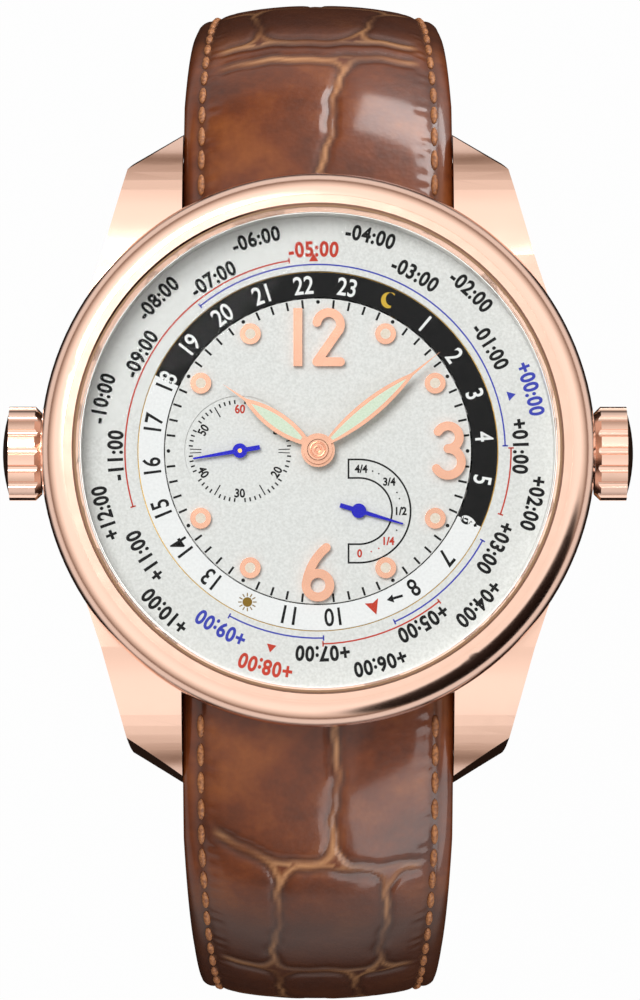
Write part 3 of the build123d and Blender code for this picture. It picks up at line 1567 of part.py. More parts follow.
def strap_blank(reach, bottom, end_y):
    """Strap half at 12 o'clock's side: the side outline trimmed to the plan, the case and the bar."""
    with BuildPart() as blank:
        with BuildSketch(Plane.YZ):
            add(strap_side(reach, bottom, end_y))
        extrude(amount=strap_half_width, both=True)
        with BuildSketch(Plane.XZ):
            add(strap_plan())
        extrude(amount=2 * reach, both=True, mode=Mode.INTERSECT)
        with BuildSketch(level(-cut_overrun)):
            Circle(strap_end_radius)
        extrude(amount=strap_top_height + 2 * cut_overrun, mode=Mode.SUBTRACT)
        with BuildSketch(Plane.YZ):
            with Locations((spring_bar_y, bar_line)):
                Circle(spring_bar_radius + running_clearance)
        extrude(amount=strap_half_width, both=True, mode=Mode.SUBTRACT)
    return blank.part


# Upper strap half: the inner layer under the wrist, ending in a loop round the buckle's bar
buckle_loop_radius = strap_low_thickness / 2 + buckle_bar_radius
buckle_bar_line = inner_layer_bottom + strap_low_thickness / 2
tongue_slot = tongue_width + 2 * keeper_clearance
with BuildPart() as strap_upper:
    add(strap_blank(upper_strap_reach, inner_layer_bottom, buckle_y))
    with BuildSketch(Plane.YZ):
        with Locations((buckle_y, buckle_bar_line)):
            Circle(strap_low_thickness / 2)
    extrude(amount=strap_low_half_width, both=True)
    with BuildSketch(Plane.YZ):
        with Locations((buckle_y, buckle_bar_line)):
            Circle(buckle_bar_radius + running_clearance)
    extrude(amount=strap_low_half_width, both=True, mode=Mode.SUBTRACT)
    with BuildSketch(Plane.XY):
        with Locations((0, buckle_y)):
            Rectangle(tongue_slot, 2 * buckle_loop_radius + 2 * buckle_bar_radius)
    extrude(amount=keeper_top, mode=Mode.SUBTRACT)
strap_upper.part.label = "strap_upper"
export_step(strap_upper.part, "parts/strap_upper.step")

# Lower strap half: the outer layer, mirrored, whose tail passes the buckle and both keepers
buckle_far_y = buckle_y - buckle_length
with BuildPart() as strap_lower:
    add(strap_blank(lower_strap_reach, outer_layer_bottom, -tail_end_y))
    mirror(about=Plane.XZ, mode=Mode.REPLACE)
    fillet(strap_lower.edges().filter_by(Axis.Z).group_by(Axis.Y)[-1], tail_corner_radius)
    with BuildSketch(Plane.XY):
        for n in range(hole_count):
            with Locations((0, buckle_y - hole_start + n * hole_pitch)):
                SlotOverall(hole_length, hole_width, rotation=90)
    extrude(amount=keeper_top, mode=Mode.SUBTRACT)
strap_lower.part.label = "strap_lower"
export_step(strap_lower.part, "parts/strap_lower.step")

# Bars that hold the strap between the lugs, with spring pivots at both ends
for bar_name, bar_side in (("spring_bar_upper", 1), ("spring_bar_lower", -1)):
    with BuildPart() as spring_bar:
        with BuildSketch(Plane.YZ):
            with Locations((bar_side * spring_bar_y, bar_line)):
                Circle(spring_bar_radius)
        extrude(amount=strap_half_width - spring_bar_shoulder, both=True)
        with BuildSketch(Plane.YZ):
            with Locations((bar_side * spring_bar_y, bar_line)):
                Circle(spring_bar_pivot)
        extrude(amount=lug_gap_half + spring_bar_pivot_length - seat_clearance, both=True)
    spring_bar.part.label = bar_name
    export_step(spring_bar.part, f"parts/{bar_name}.step")


def keeper_outline():
    """Section of a keeper round both strap layers, flat on its lower face."""
    outer_half = strap_low_half_width + keeper_clearance + keeper_wall
    height = keeper_top + keeper_wall
    with BuildSketch() as outline:
        with Locations((0, height)):
            RectangleRounded(2 * outer_half, height, keeper_wall, align=(Align.CENTER, Align.MAX))
        with Locations((0, keeper_wall)):
            Rectangle(
                2 * (strap_low_half_width + keeper_clearance),
                keeper_top - keeper_wall,
                align=(Align.CENTER, Align.MIN),
                mode=Mode.SUBTRACT,
            )
    return outline.sketch


for keeper_name, keeper_y in (("fixed_keeper", fixed_keeper_y), ("free_keeper", free_keeper_y)):
    with BuildPart() as keeper:
        with BuildSketch(Plane.XZ.offset(-keeper_y)):
            add(keeper_outline())
        extrude(amount=keeper_width / 2, both=True)
    keeper.part.label = keeper_name
    export_step(keeper.part, f"parts/{keeper_name}.step")

# Buckle: a U-shaped frame with eyes for its bar, the bar, and a tongue that rests in a notch
frame_inner_half = strap_low_half_width + buckle_side_gap
frame_outer_half = frame_inner_half + buckle_rail
eye_radius = buckle_bar_radius + buckle_eye_wall
with BuildPart() as buckle_frame:
    with BuildSketch(Plane.YZ):
        with BuildLine():
            Polyline(
                (buckle_far_y, 0),
                (buckle_far_y, buckle_height),
                (buckle_far_y + buckle_rail, buckle_height),
                (buckle_y - eye_radius, buckle_bar_line + eye_radius / 2),
                (buckle_y, buckle_bar_line + eye_radius),
                (buckle_y + eye_radius, buckle_bar_line),
                (buckle_y, buckle_bar_line - eye_radius),
                (buckle_far_y + 2 * buckle_rail, 0),
                close=True,
            )
        make_face()
    extrude(amount=frame_outer_half, both=True)
    with BuildSketch(Plane.XY):
        with Locations((0, buckle_far_y + buckle_rail)):
            Rectangle(2 * frame_inner_half, buckle_length + eye_radius, align=(Align.CENTER, Align.MIN))
    extrude(amount=keeper_top + eye_radius, mode=Mode.SUBTRACT)
    with BuildSketch(Plane.YZ):
        with Locations((buckle_y, buckle_bar_line)):
            Circle(buckle_bar_radius + running_clearance)
    extrude(amount=frame_outer_half, both=True, mode=Mode.SUBTRACT)
    with BuildSketch(Plane.XY):
        with Locations((0, buckle_far_y)):
            Rectangle(tongue_slot, buckle_rail, align=(Align.CENTER, Align.MIN))
    extrude(amount=tongue_thickness + 2 * keeper_clearance, mode=Mode.SUBTRACT)
    far_edges = buckle_frame.edges().filter_by(Axis.Z).group_by(Axis.Y)[0].sort_by(Axis.X)
    fillet([far_edges[0], far_edges[-1]], buckle_corner_radius)
buckle_frame.part.label = "buckle_frame"
export_step(buckle_frame.part, "parts/buckle_frame.step")

with BuildPart() as buckle_bar:
    with BuildSketch(Plane.YZ):
        with Locations((buckle_y, buckle_bar_line)):
            Circle(buckle_bar_radius)
    extrude(amount=frame_outer_half - edge_break, both=True)
buckle_bar.part.label = "buckle_bar"
export_step(buckle_bar.part, "parts/buckle_bar.step")

tail_top = outer_layer_bottom + strap_low_thickness
tongue_low = tongue_floor_gap + tongue_thickness / 2
with BuildPart() as buckle_tongue:
    with BuildSketch(Plane.YZ):
        with BuildLine():
            FilletPolyline(
                (buckle_y, buckle_bar_line),
                (buckle_y - tongue_kink, tail_top + tongue_lift),
                (buckle_y - tongue_drop, tongue_low),
                (buckle_y - tongue_reach, tongue_low),
                radius=tongue_bend,
            )
        trace(line_width=tongue_thickness)
        with Locations((buckle_y, buckle_bar_line)):
            Circle(eye_radius - keeper_clearance)
            Circle(buckle_bar_radius + running_clearance, mode=Mode.SUBTRACT)
    extrude(amount=tongue_width / 2, both=True)
buckle_tongue.part.label = "buckle_tongue"
export_step(buckle_tongue.part, "parts/buckle_tongue.step")
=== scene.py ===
import json
import math

import bmesh
import bpy
import numpy as np
from mathutils import Matrix, Vector


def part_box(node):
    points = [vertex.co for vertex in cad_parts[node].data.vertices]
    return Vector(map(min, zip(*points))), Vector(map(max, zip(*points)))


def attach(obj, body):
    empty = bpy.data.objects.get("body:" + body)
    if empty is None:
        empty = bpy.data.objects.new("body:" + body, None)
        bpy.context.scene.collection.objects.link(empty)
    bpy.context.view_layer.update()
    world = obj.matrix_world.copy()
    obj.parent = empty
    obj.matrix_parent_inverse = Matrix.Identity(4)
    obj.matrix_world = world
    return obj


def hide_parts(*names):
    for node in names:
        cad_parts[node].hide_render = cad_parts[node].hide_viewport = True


# World time wristwatch, in metres: +Z out of the dial, +Y towards 12 o'clock, +X towards 3 o'clock.
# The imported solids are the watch; polish, print and leather are made here, piece by piece.
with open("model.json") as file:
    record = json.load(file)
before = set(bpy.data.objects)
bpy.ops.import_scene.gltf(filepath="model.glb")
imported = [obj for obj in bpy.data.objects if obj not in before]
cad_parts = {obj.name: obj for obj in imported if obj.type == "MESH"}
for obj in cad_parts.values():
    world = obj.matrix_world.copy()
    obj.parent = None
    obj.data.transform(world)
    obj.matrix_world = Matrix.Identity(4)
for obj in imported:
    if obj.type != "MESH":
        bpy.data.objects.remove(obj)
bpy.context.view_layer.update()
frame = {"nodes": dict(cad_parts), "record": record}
scene = bpy.context.scene
mm = 0.001

# Room: the watch stands on a white sheet in a pale room, as a maker's catalogue shows it.
# A large soft lamp high on the left gives the dial its shadows, and a dark band low in the room
# gives polished gold its brown edges.


def tint(code):
    """Linear colour of an sRGB hex value."""
    parts = [int(code[i : i + 2], 16) / 255 for i in (1, 3, 5)]
    return [c / 12.92 if c <= 0.04045 else ((c + 0.055) / 1.055) ** 2.4 for c in parts] + [1.0]


def add(tree, kind, sockets=None, **settings):
    """Adds a node with its settings, and fills its sockets with values or with other nodes' outputs."""
    made = tree.nodes.new(kind)
    for name, value in settings.items():
        setattr(made, name, value)
    for key, value in (sockets or {}).items():
        if isinstance(value, bpy.types.NodeSocket):
            tree.links.new(value, made.inputs[key])
        else:
            made.inputs[key].default_value = value
    return made


def material(name):
    """New node material and its empty tree."""
    made = bpy.data.materials.new(name)
    made.use_nodes = True
    made.node_tree.nodes.clear()
    return made, made.node_tree


def stops(ramp, *colours):
    """Gives a colour ramp its stops, each a place and a hex colour."""
    points = ramp.color_ramp.elements
    while len(points) < len(colours):
        points.new(1.0)
    for point, (place, colour) in zip(points, colours):
        point.position = place
        point.color = tint(colour)
    return ramp


scene.view_settings.view_transform = "Standard"
studio = bpy.data.worlds.new("studio")
studio.use_nodes = True
scene.world = studio
sky = studio.node_tree
sky.nodes.clear()
ray = add(sky, "ShaderNodeLightPath").outputs
way = add(sky, "ShaderNodeTexCoord").outputs["Generated"]
height = add(sky, "ShaderNodeSeparateXYZ", {0: way}).outputs["Z"]
walls = add(sky, "ShaderNodeValToRGB", {"Fac": height})
stops(walls, (0.0, "#97887E"), (0.06, "#66554A"), (0.2, "#A89C93"), (0.45, "#DAD3CD"), (0.66, "#F6F1ED"), (0.88, "#F2EDE9"), (0.975, "#DED7D1"))
corner = add(sky, "ShaderNodeVectorMath", {0: way, 1: (0.63, -0.64, 0.44)}, operation="DOT_PRODUCT").outputs["Value"]
doorway = add(sky, "ShaderNodeValToRGB", {"Fac": corner})
stops(doorway, (0.81, "#FFFFFF"), (0.86, "#1C100B"))
room = add(sky, "ShaderNodeMix", {0: 1.0, 6: walls.outputs["Color"], 7: doorway.outputs["Color"]}, data_type="RGBA", blend_type="MULTIPLY")
soft = add(sky, "ShaderNodeValToRGB", {"Fac": height})
stops(soft, (0.0, "#2A2827"), (0.35, "#6B6967"), (0.75, "#F2F2F2"))
lit = add(sky, "ShaderNodeBackground", {"Color": soft.outputs["Color"], "Strength": 0.72})
mirrored = add(sky, "ShaderNodeBackground", {"Color": room.outputs[2], "Strength": 1.42})
seen = add(sky, "ShaderNodeBackground", {"Color": tint("#FFFFFF"), "Strength": 1.0})
gloss = add(sky, "ShaderNodeMixShader", {0: ray["Is Glossy Ray"], 1: lit.outputs[0], 2: mirrored.outputs[0]})
clear = add(sky, "ShaderNodeMath", {0: ray["Is Camera Ray"], 1: ray["Is Transmission Ray"]}, operation="MAXIMUM")
whole = add(sky, "ShaderNodeMixShader", {0: clear.outputs[0], 1: gloss.outputs[0], 2: seen.outputs[0]})
add(sky, "ShaderNodeOutputWorld", {"Surface": whole.outputs[0]})

sheet_half = 1.5
sheet_top = -0.02 * mm
corners = [(x * sheet_half, y * sheet_half, sheet_top) for x, y in ((-1, -1), (1, -1), (1, 1), (-1, 1))]
floor_mesh = bpy.data.meshes.new("floor")
floor_mesh.from_pydata(corners, [], [(0, 1, 2, 3)])
floor = bpy.data.objects.new("floor", floor_mesh)
scene.collection.objects.link(floor)
paper, tree = material("white_paper")
ray = add(tree, "ShaderNodeLightPath").outputs
matt = add(tree, "ShaderNodeBsdfDiffuse", {"Color": tint("#8A8886")})
spot = add(tree, "ShaderNodeTexCoord").outputs["Object"]
away = add(tree, "ShaderNodeVectorMath", {0: spot}, operation="LENGTH").outputs["Value"]
# Painted shadow: to reflections the sheet is near black within 80 mm of the middle and white beyond 130 mm, so polished
# gold mirrors a dark patch round the watch. To the camera the sheet stays evenly white.
shade = add(tree, "ShaderNodeValToRGB", {"Fac": away})
stops(shade, (0.08, "#1E130D"), (0.13, "#F4EFEC"))
tone = add(tree, "ShaderNodeMix", {0: ray["Is Camera Ray"], 6: shade.outputs["Color"], 7: tint("#FFFFFF")}, data_type="RGBA")
white = add(tree, "ShaderNodeEmission", {"Color": tone.outputs[2], "Strength": 1.0})
plain = add(tree, "ShaderNodeMath", {0: ray["Is Camera Ray"], 1: ray["Is Glossy Ray"]}, operation="MAXIMUM")
shown = add(tree, "ShaderNodeMath", {0: plain.outputs[0], 1: 0.985}, operation="MULTIPLY")
blend = add(tree, "ShaderNodeMixShader", {0: shown.outputs[0], 1: matt.outputs[0], 2: white.outputs[0]})
add(tree, "ShaderNodeOutputMaterial", {"Surface": blend.outputs[0]})
floor_mesh.materials.append(paper)

bezel_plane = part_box("bezel")[1].z
leather_only = bpy.data.collections.new("leather_only")
lamps = (
    ("key_lamp", (-0.16, 0.19, 0.65), 0.26, 0.26, 2.7, None),
    ("twelve_panel", (0.33, 0.50, 0.15), 0.60, 0.20, 4.6, leather_only),
    ("six_panel", (0.27, -0.46, 0.23), 0.50, 0.36, 2.5, leather_only),
)
for name, spot, width, tall, power, lit_pieces in lamps:
    lamp = bpy.data.lights.new(name, "AREA")
    lamp.shape = "RECTANGLE"
    lamp.size = width
    lamp.size_y = tall
    lamp.energy = power
    lamp_object = bpy.data.objects.new(name, lamp)
    lamp_object.location = spot
    lamp_object.light_linking.receiver_collection = lit_pieces
    lamp_object.rotation_euler = (Vector((0, 0, bezel_plane)) - Vector(spot)).to_track_quat("-Z", "Y").to_euler()
    scene.collection.objects.link(lamp_object)

# Camera: the photograph looks down on the dial from 3.5 degrees in front of straight above, from far
# enough away that the case shows as a full round.
camera_tilt = math.radians(3.5)
camera_distance = 0.5
camera_aim = Vector((0.15 * mm, -3.85 * mm, bezel_plane))
camera = bpy.data.cameras.new("camera")
camera.lens = 245.0
camera_object = bpy.data.objects.new("camera", camera)
camera_object.rotation_euler = (camera_tilt, 0, 0)
camera_object.location = camera_aim + camera_distance * Vector((0, -math.sin(camera_tilt), math.cos(camera_tilt)))
scene.collection.objects.link(camera_object)
scene.camera = camera_object

# Case middle: one piece of rose gold with its four lugs, turned, milled and polished to a mirror,
# so its edges stay crisp and its faces show the room.
body_of = {node: body for body, nodes in frame["record"]["behaviour"]["bodies"].items() for node in nodes}


def link(name, mesh, *paints):
    """Object in the scene for a mesh, with its materials."""
    piece = bpy.data.objects.new(name, mesh)
    scene.collection.objects.link(piece)
    for paint in paints:
        mesh.materials.append(paint)
    return piece


def copy_of(node, name, paint):
    """Copy of a CAD node in its place, with its loose points joined."""
    source = frame["nodes"][node].data
    mesh = bpy.data.meshes.new(name)
    mesh.from_pydata([v.co for v in source.vertices], [], [list(p.vertices) for p in source.polygons])
    shape = bmesh.new()
    shape.from_mesh(mesh)
    bmesh.ops.remove_doubles(shape, verts=shape.verts, dist=0.002 * mm)
    bmesh.ops.dissolve_limit(shape, angle_limit=math.radians(0.6), verts=shape.verts, edges=shape.edges)
    bmesh.ops.triangulate(shape, faces=[f for f in shape.faces if len(f.verts) > 4])
    shape.to_mesh(mesh)
    shape.free()
    return link(name, mesh, paint)


def polish(piece, node, angle=32.0, bevel=0.0):
    """Shades a piece's curves smooth, breaks its edges, and puts it on its body for its CAD node."""
    piece.data.polygons.foreach_set("use_smooth", [True] * len(piece.data.polygons))
    piece.data.set_sharp_from_angle(angle=math.radians(angle))
    if bevel:
        rounded = piece.modifiers.new("edges", "BEVEL")
        rounded.width = bevel
        rounded.segments = 2
        rounded.limit_method = "ANGLE"
        rounded.angle_limit = math.radians(angle)
        rounded.harden_normals = True
    even = piece.modifiers.new("normals", "WEIGHTED_NORMAL")
    even.keep_sharp = True
    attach(piece, body_of[node])
    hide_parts(node)
    return piece


def polished(node, name, paint, angle=32.0, bevel=0.0):
    """Polished copy of a CAD node."""
    return polish(copy_of(node, name, paint), node, angle, bevel)


def carve(piece, operation, *tools):
    """Joins or cuts a piece with others, which are used up, and keeps the result as plain mesh."""
    for tool in tools:
        step = piece.modifiers.new("step", "BOOLEAN")
        step.operation = operation
        step.object = tool
        step.solver = "EXACT"
    bpy.context.view_layer.update()
    mesh = bpy.data.meshes.new_from_object(piece.evaluated_get(bpy.context.evaluated_depsgraph_get()))
    piece.modifiers.clear()
    old = piece.data
    piece.data = mesh
    bpy.data.meshes.remove(old)
    for tool in tools:
        bpy.data.objects.remove(tool)


rose_gold, tree = material("polished_rose_gold")
place = add(tree, "ShaderNodeTexCoord").outputs["Object"]
haze = add(tree, "ShaderNodeTexNoise", {"Vector": place, "Scale": 700.0, "Detail": 3.0})
rough = add(tree, "ShaderNodeMapRange", {"Value": haze.outputs["Fac"], "To Min": 0.13, "To Max": 0.2})
waves = add(tree, "ShaderNodeTexNoise", {"Vector": place, "Scale": 260.0, "Detail": 1.0})
skin = add(tree, "ShaderNodeBump", {"Height": waves.outputs["Fac"], "Strength": 0.05, "Distance": 0.0001})
gold = {"Base Color": tint("#F3CFBD"), "Metallic": 1.0, "Roughness": rough.outputs[0], "Normal": skin.outputs[0]}
shader = add(tree, "ShaderNodeBsdfPrincipled", gold)
add(tree, "ShaderNodeOutputMaterial", {"Surface": shader.outputs[0]})
# Painted shade: the numerals, cups, hands and hub cap get a darker, redder copy of the case gold, so the same metal
# shows darker on the dial.
applied_gold = rose_gold.copy()
applied_gold.name = "shaded_rose_gold"
applied_gold.node_tree.nodes["Principled BSDF"].inputs["Base Color"].default_value = tint("#ECB89F")


def lug_edge(y):
    """Outer edge of a lug in plan at a distance from the middle, in millimetres."""
    if y < 21.608:
        return 13.9 + (22.2 - y) * 2.1 / 7.6
    if y < 22.508:
        return 12.617 + math.sqrt(1.5**2 - (y - 21.209) ** 2)
    return 13.9 - (y - 22.2) * 3.8 / 2.2


def lug_tips():
    """The four lugs' ends under a rounded top."""
    under = ((19.53, 20.37, 21.2, 22.02, 22.83, 23.62, 24.4), (47.12, 47.03, 46.89, 46.7, 46.47, 46.18, 45.85))
    stations = [19.53, 20.31, 20.94, 21.54, 21.76, 21.91, 22.11, 22.3, 22.51, 22.83, 23.2, 23.62, 23.95, 24.3]
    tips = bmesh.new()
    for side_x, side_y in ((1, 1), (1, -1), (-1, 1), (-1, -1)):
        rows = []
        for y in stations:
            high = 40.482 + math.sqrt(13.676**2 - (y - 13.249) ** 2)
            low = float(np.interp(y, *under))
            section = ((10.1, low), (lug_edge(y), low), (lug_edge(y), high), (10.1, high))
            rows.append([tips.verts.new((side_x * x * mm, side_y * y * mm, z * mm)) for x, z in section])
        tips.faces.new(rows[0])
        tips.faces.new(rows[-1])
        for near, far in zip(rows, rows[1:]):
            for n in range(4):
                tips.faces.new((near[n], near[n - 1], far[n - 1], far[n]))
    bmesh.ops.recalc_face_normals(tips, faces=tips.faces)
    mesh = bpy.data.meshes.new("lug_tips")
    tips.to_mesh(mesh)
    tips.free()
    return link("lug_tips", mesh)


def end_cutters():
    """Wedges that leave each lug's end as one steep face, slanted in plan."""
    cutters = bmesh.new()
    along_edge, outward = np.array((3.8, -2.2)) / 4.391, np.array((2.2, 3.8)) / 4.391
    for side_x, side_y in ((1, 1), (1, -1), (-1, 1), (-1, -1)):
        loops = []
        for z in (45.0, 55.0):
            near = -0.13 * (z - 45.85)
            spots = [np.array((10.1, 24.4)) + along_edge * t + outward * o for t, o in ((-4, near), (9, near), (9, 5), (-4, 5))]
            loops.append([cutters.verts.new((side_x * x * mm, side_y * y * mm, z * mm)) for x, y in spots])
        for loop in loops:
            cutters.faces.new(loop)
        for n in range(4):
            cutters.faces.new((loops[0][n], loops[0][n - 1], loops[1][n - 1], loops[1][n]))
    bmesh.ops.recalc_face_normals(cutters, faces=cutters.faces)
    mesh = bpy.data.meshes.new("end_cutters")
    cutters.to_mesh(mesh)
    cutters.free()
    return link("end_cutters", mesh)


def rod(y, z, radius, half_length):
    """Rod along X, to bore with."""
    shape = bmesh.new()
    turn = Matrix.Translation((0, y, z)) @ Matrix.Rotation(math.pi / 2, 4, "Y")
    bmesh.ops.create_cone(shape, segments=28, radius1=radius, radius2=radius, depth=2 * half_length, cap_ends=True, matrix=turn)
    mesh = bpy.data.meshes.new("rod")
    shape.to_mesh(mesh)
    shape.free()
    return link("rod", mesh)


case = copy_of("case_middle", "case_with_lugs", rose_gold)
carve(case, "UNION", lug_tips())
carve(case, "DIFFERENCE", end_cutters())
carve(case, "DIFFERENCE", *(rod(y * mm, 47.8 * mm, 0.43 * mm, 10.9 * mm) for y in (22.1, -22.1)))
polish(case, "case_middle", bevel=0.16 * mm)

# Bezel: a polished rose gold ring pressed over the case, broad and rounded, with a fine step and a
# narrow inner ring that holds the crystal.
polished("bezel", "polished_bezel", rose_gold, angle=24.0)

# Crystal and back window: domed and flat sapphire, clear, coated inside against reflections.
sapphire, tree = material("coated_sapphire")
clear = {"Base Color": tint("#FFFFFF"), "Roughness": 0.0, "IOR": 1.08, "Transmission Weight": 1.0}
glass = add(tree, "ShaderNodeBsdfPrincipled", clear)
through = add(tree, "ShaderNodeBsdfTransparent", {"Color": tint("#FBFCFC")})
ray = add(tree, "ShaderNodeLightPath").outputs
lighting = add(tree, "ShaderNodeMath", {0: ray["Is Shadow Ray"], 1: ray["Is Diffuse Ray"]}, operation="MAXIMUM")
passing = add(tree, "ShaderNodeMath", {0: lighting.outputs[0], 1: ray["Is Glossy Ray"]}, operation="MAXIMUM")
pane = add(tree, "ShaderNodeMixShader", {0: passing.outputs[0], 1: glass.outputs[0], 2: through.outputs[0]})
add(tree, "ShaderNodeOutputMaterial", {"Surface": pane.outputs[0]})
polished("crystal", "domed_crystal", sapphire, angle=20.0)
polished("case_back_glass", "back_window", sapphire)

# Case back: a screwed rose gold ring, with rubber seals under it and under the crystal.
polished("case_back_ring", "screwed_back_ring", rose_gold)
seal, tree = material("moulded_seal_rubber")
place = add(tree, "ShaderNodeTexCoord").outputs["Object"]
speck = add(tree, "ShaderNodeTexNoise", {"Vector": place, "Scale": 4000.0})
grain = add(tree, "ShaderNodeBump", {"Height": speck.outputs["Fac"], "Strength": 0.2, "Distance": 0.00002})
rubber = {"Base Color": tint("#1B1B1C"), "Roughness": 0.62, "Normal": grain.outputs[0]}
shader = add(tree, "ShaderNodeBsdfPrincipled", rubber)
add(tree, "ShaderNodeOutputMaterial", {"Surface": shader.outputs[0]})


def dress(paint, *nodes):
    """Gives CAD nodes that stay as they are a material."""
    for node in nodes:
        frame["nodes"][node].data.materials.clear()
        frame["nodes"][node].data.materials.append(paint)


dress(seal, "case_back_gasket")
amber_seal = seal.copy()
amber_seal.name = "amber_seal_rubber"
amber_seal.node_tree.nodes["Principled BSDF"].inputs["Base Color"].default_value = tint("#94704E")
dress(amber_seal, "crystal_gasket")

# Crowns: fluted rose gold, one winds and sets the hands, the other turns the city ring.
for node, name in (("winding_crown", "winding_crown_fluted"), ("city_crown", "city_crown_fluted")):
    polished(node, name, rose_gold, angle=28.0)

# Stems, tubes, screws and levers: hardened steel, turned and polished by machine.
steel, tree = material("turned_hardened_steel")
place = add(tree, "ShaderNodeTexCoord").outputs["Object"]
marks = add(tree, "ShaderNodeTexNoise", {"Vector": place, "Scale": 6000.0, "Detail": 2.0})
rough = add(tree, "ShaderNodeMapRange", {"Value": marks.outputs["Fac"], "To Min": 0.18, "To Max": 0.34})
metal = {"Base Color": tint("#C9C9CB"), "Metallic": 1.0, "Roughness": rough.outputs[0]}
shader = add(tree, "ShaderNodeBsdfPrincipled", metal)
add(tree, "ShaderNodeOutputMaterial", {"Surface": shader.outputs[0]})
dress(steel, "case_back_screws", "winding_crown_tube", "city_crown_tube", "winding_stem", "sliding_pinion")
dress(steel, "city_stem", "setting_lever", "spring_bar_upper", "spring_bar_lower", "buckle_bar", "ratchet_wheel")
dress(steel, "pallet_lever", "escape_wheel", "rotor_bearing", "cannon_pinion", "movement_holder")

# Movement plates and bridges: rhodium plated brass with straight stripes about 1.2 mm apart.
plated, tree = material("striped_rhodium_plate")
place = add(tree, "ShaderNodeTexCoord").outputs["Object"]
stripes = add(tree, "ShaderNodeTexWave", {"Vector": place, "Scale": 265.0, "Distortion": 0.2}, wave_profile="SAW")
brushed = add(tree, "ShaderNodeBump", {"Height": stripes.outputs["Fac"], "Strength": 0.25, "Distance": 0.00004})
rough = add(tree, "ShaderNodeMapRange", {"Value": stripes.outputs["Fac"], "To Min": 0.2, "To Max": 0.42})
metal = {"Base Color": tint("#CFCFCE"), "Metallic": 1.0, "Roughness": rough.outputs[0], "Normal": brushed.outputs[0]}
shader = add(tree, "ShaderNodeBsdfPrincipled", metal)
add(tree, "ShaderNodeOutputMaterial", {"Surface": shader.outputs[0]})
dress(plated, "main_plate", "barrel_bridge", "train_bridge", "balance_cock")

# Wheels: gilt brass, cut and lightly brushed.
gilt, tree = material("gilt_brass")
place = add(tree, "ShaderNodeTexCoord").outputs["Object"]
marks = add(tree, "ShaderNodeTexNoise", {"Vector": place, "Scale": 5000.0, "Detail": 2.0})
rough = add(tree, "ShaderNodeMapRange", {"Value": marks.outputs["Fac"], "To Min": 0.16, "To Max": 0.3})
metal = {"Base Color": tint("#DDB76A"), "Metallic": 1.0, "Roughness": rough.outputs[0]}
shader = add(tree, "ShaderNodeBsdfPrincipled", metal)
add(tree, "ShaderNodeOutputMaterial", {"Surface": shader.outputs[0]})
dress(gilt, "barrel", "centre_wheel", "third_wheel", "fourth_wheel", "balance_wheel", "minute_wheel")
dress(gilt, "hour_wheel", "ring_wheel", "ring_seat")

# Bridge screws and small hands: steel blued by heat, deep violet blue.
blued, tree = material("heat_blued_steel")
facing = add(tree, "ShaderNodeLayerWeight", {"Blend": 0.4})
hue = add(tree, "ShaderNodeValToRGB", {"Fac": facing.outputs["Facing"]})
stops(hue, (0.0, "#1C1C9A"), (1.0, "#4A3FC0"))
metal = {"Base Color": hue.outputs["Color"], "Metallic": 0.75, "Roughness": 0.28}
shader = add(tree, "ShaderNodeBsdfPrincipled", metal)
add(tree, "ShaderNodeOutputMaterial", {"Surface": shader.outputs[0]})
dress(blued, "bridge_screws")
polished("seconds_hand", "blued_seconds_hand", blued)
polished("reserve_hand", "blued_reserve_hand", blued)

# Jewels: synthetic ruby bearings pressed into the bridges.
ruby, tree = material("synthetic_ruby")
place = add(tree, "ShaderNodeTexCoord").outputs["Object"]
cloud = add(tree, "ShaderNodeTexNoise", {"Vector": place, "Scale": 2500.0})
hue = add(tree, "ShaderNodeValToRGB", {"Fac": cloud.outputs["Fac"]})
stops(hue, (0.3, "#9C0F2E"), (0.7, "#C2204A"))
shader = add(tree, "ShaderNodeBsdfPrincipled", {"Base Color": hue.outputs["Color"], "Roughness": 0.05, "Coat Weight": 0.6})
add(tree, "ShaderNodeOutputMaterial", {"Surface": shader.outputs[0]})
dress(ruby, "jewels")

# Rotor: a half disc of rose gold that winds the movement, seen through the back.
polished("rotor", "winding_rotor", rose_gold)

# Dial: brass, silvered and lacquered to a fine mineral grain, with a recess for the small seconds.
silvered, tree = material("silvered_grained_dial")
place = add(tree, "ShaderNodeTexCoord").outputs["Object"]
speck = add(tree, "ShaderNodeTexNoise", {"Vector": place, "Scale": 5200.0, "Detail": 3.0})
tone = add(tree, "ShaderNodeValToRGB", {"Fac": speck.outputs["Fac"]})
stops(tone, (0.3, "#D6D6D2"), (0.7, "#E9E9E6"))
grain = add(tree, "ShaderNodeBump", {"Height": speck.outputs["Fac"], "Strength": 0.35, "Distance": 0.00003})
lacquer = {"Base Color": tone.outputs["Color"], "Roughness": 0.45, "Normal": grain.outputs[0]}
shader = add(tree, "ShaderNodeBsdfPrincipled", lacquer)
add(tree, "ShaderNodeOutputMaterial", {"Surface": shader.outputs[0]})
dress(silvered, "dial", "city_ring")
dial_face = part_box("dial")[1].z
ink_height = 0.015 * mm


def ink(name, colour, roughness=0.5):
    """Pad printed ink: flat colour with a slight unevenness from the pad."""
    made, tree = material(name)
    place = add(tree, "ShaderNodeTexCoord").outputs["Object"]
    patchy = add(tree, "ShaderNodeTexNoise", {"Vector": place, "Scale": 3000.0})
    uneven = add(tree, "ShaderNodeMapRange", {"Value": patchy.outputs["Fac"], "To Min": 0.9, "To Max": 1.08})
    hue = add(tree, "ShaderNodeHueSaturation", {"Color": tint(colour), "Value": uneven.outputs[0]})
    pigment = {"Base Color": hue.outputs["Color"], "Roughness": roughness, "Specular IOR Level": 0.15}
    shader = add(tree, "ShaderNodeBsdfPrincipled", pigment)
    add(tree, "ShaderNodeOutputMaterial", {"Surface": shader.outputs[0]})
    return made


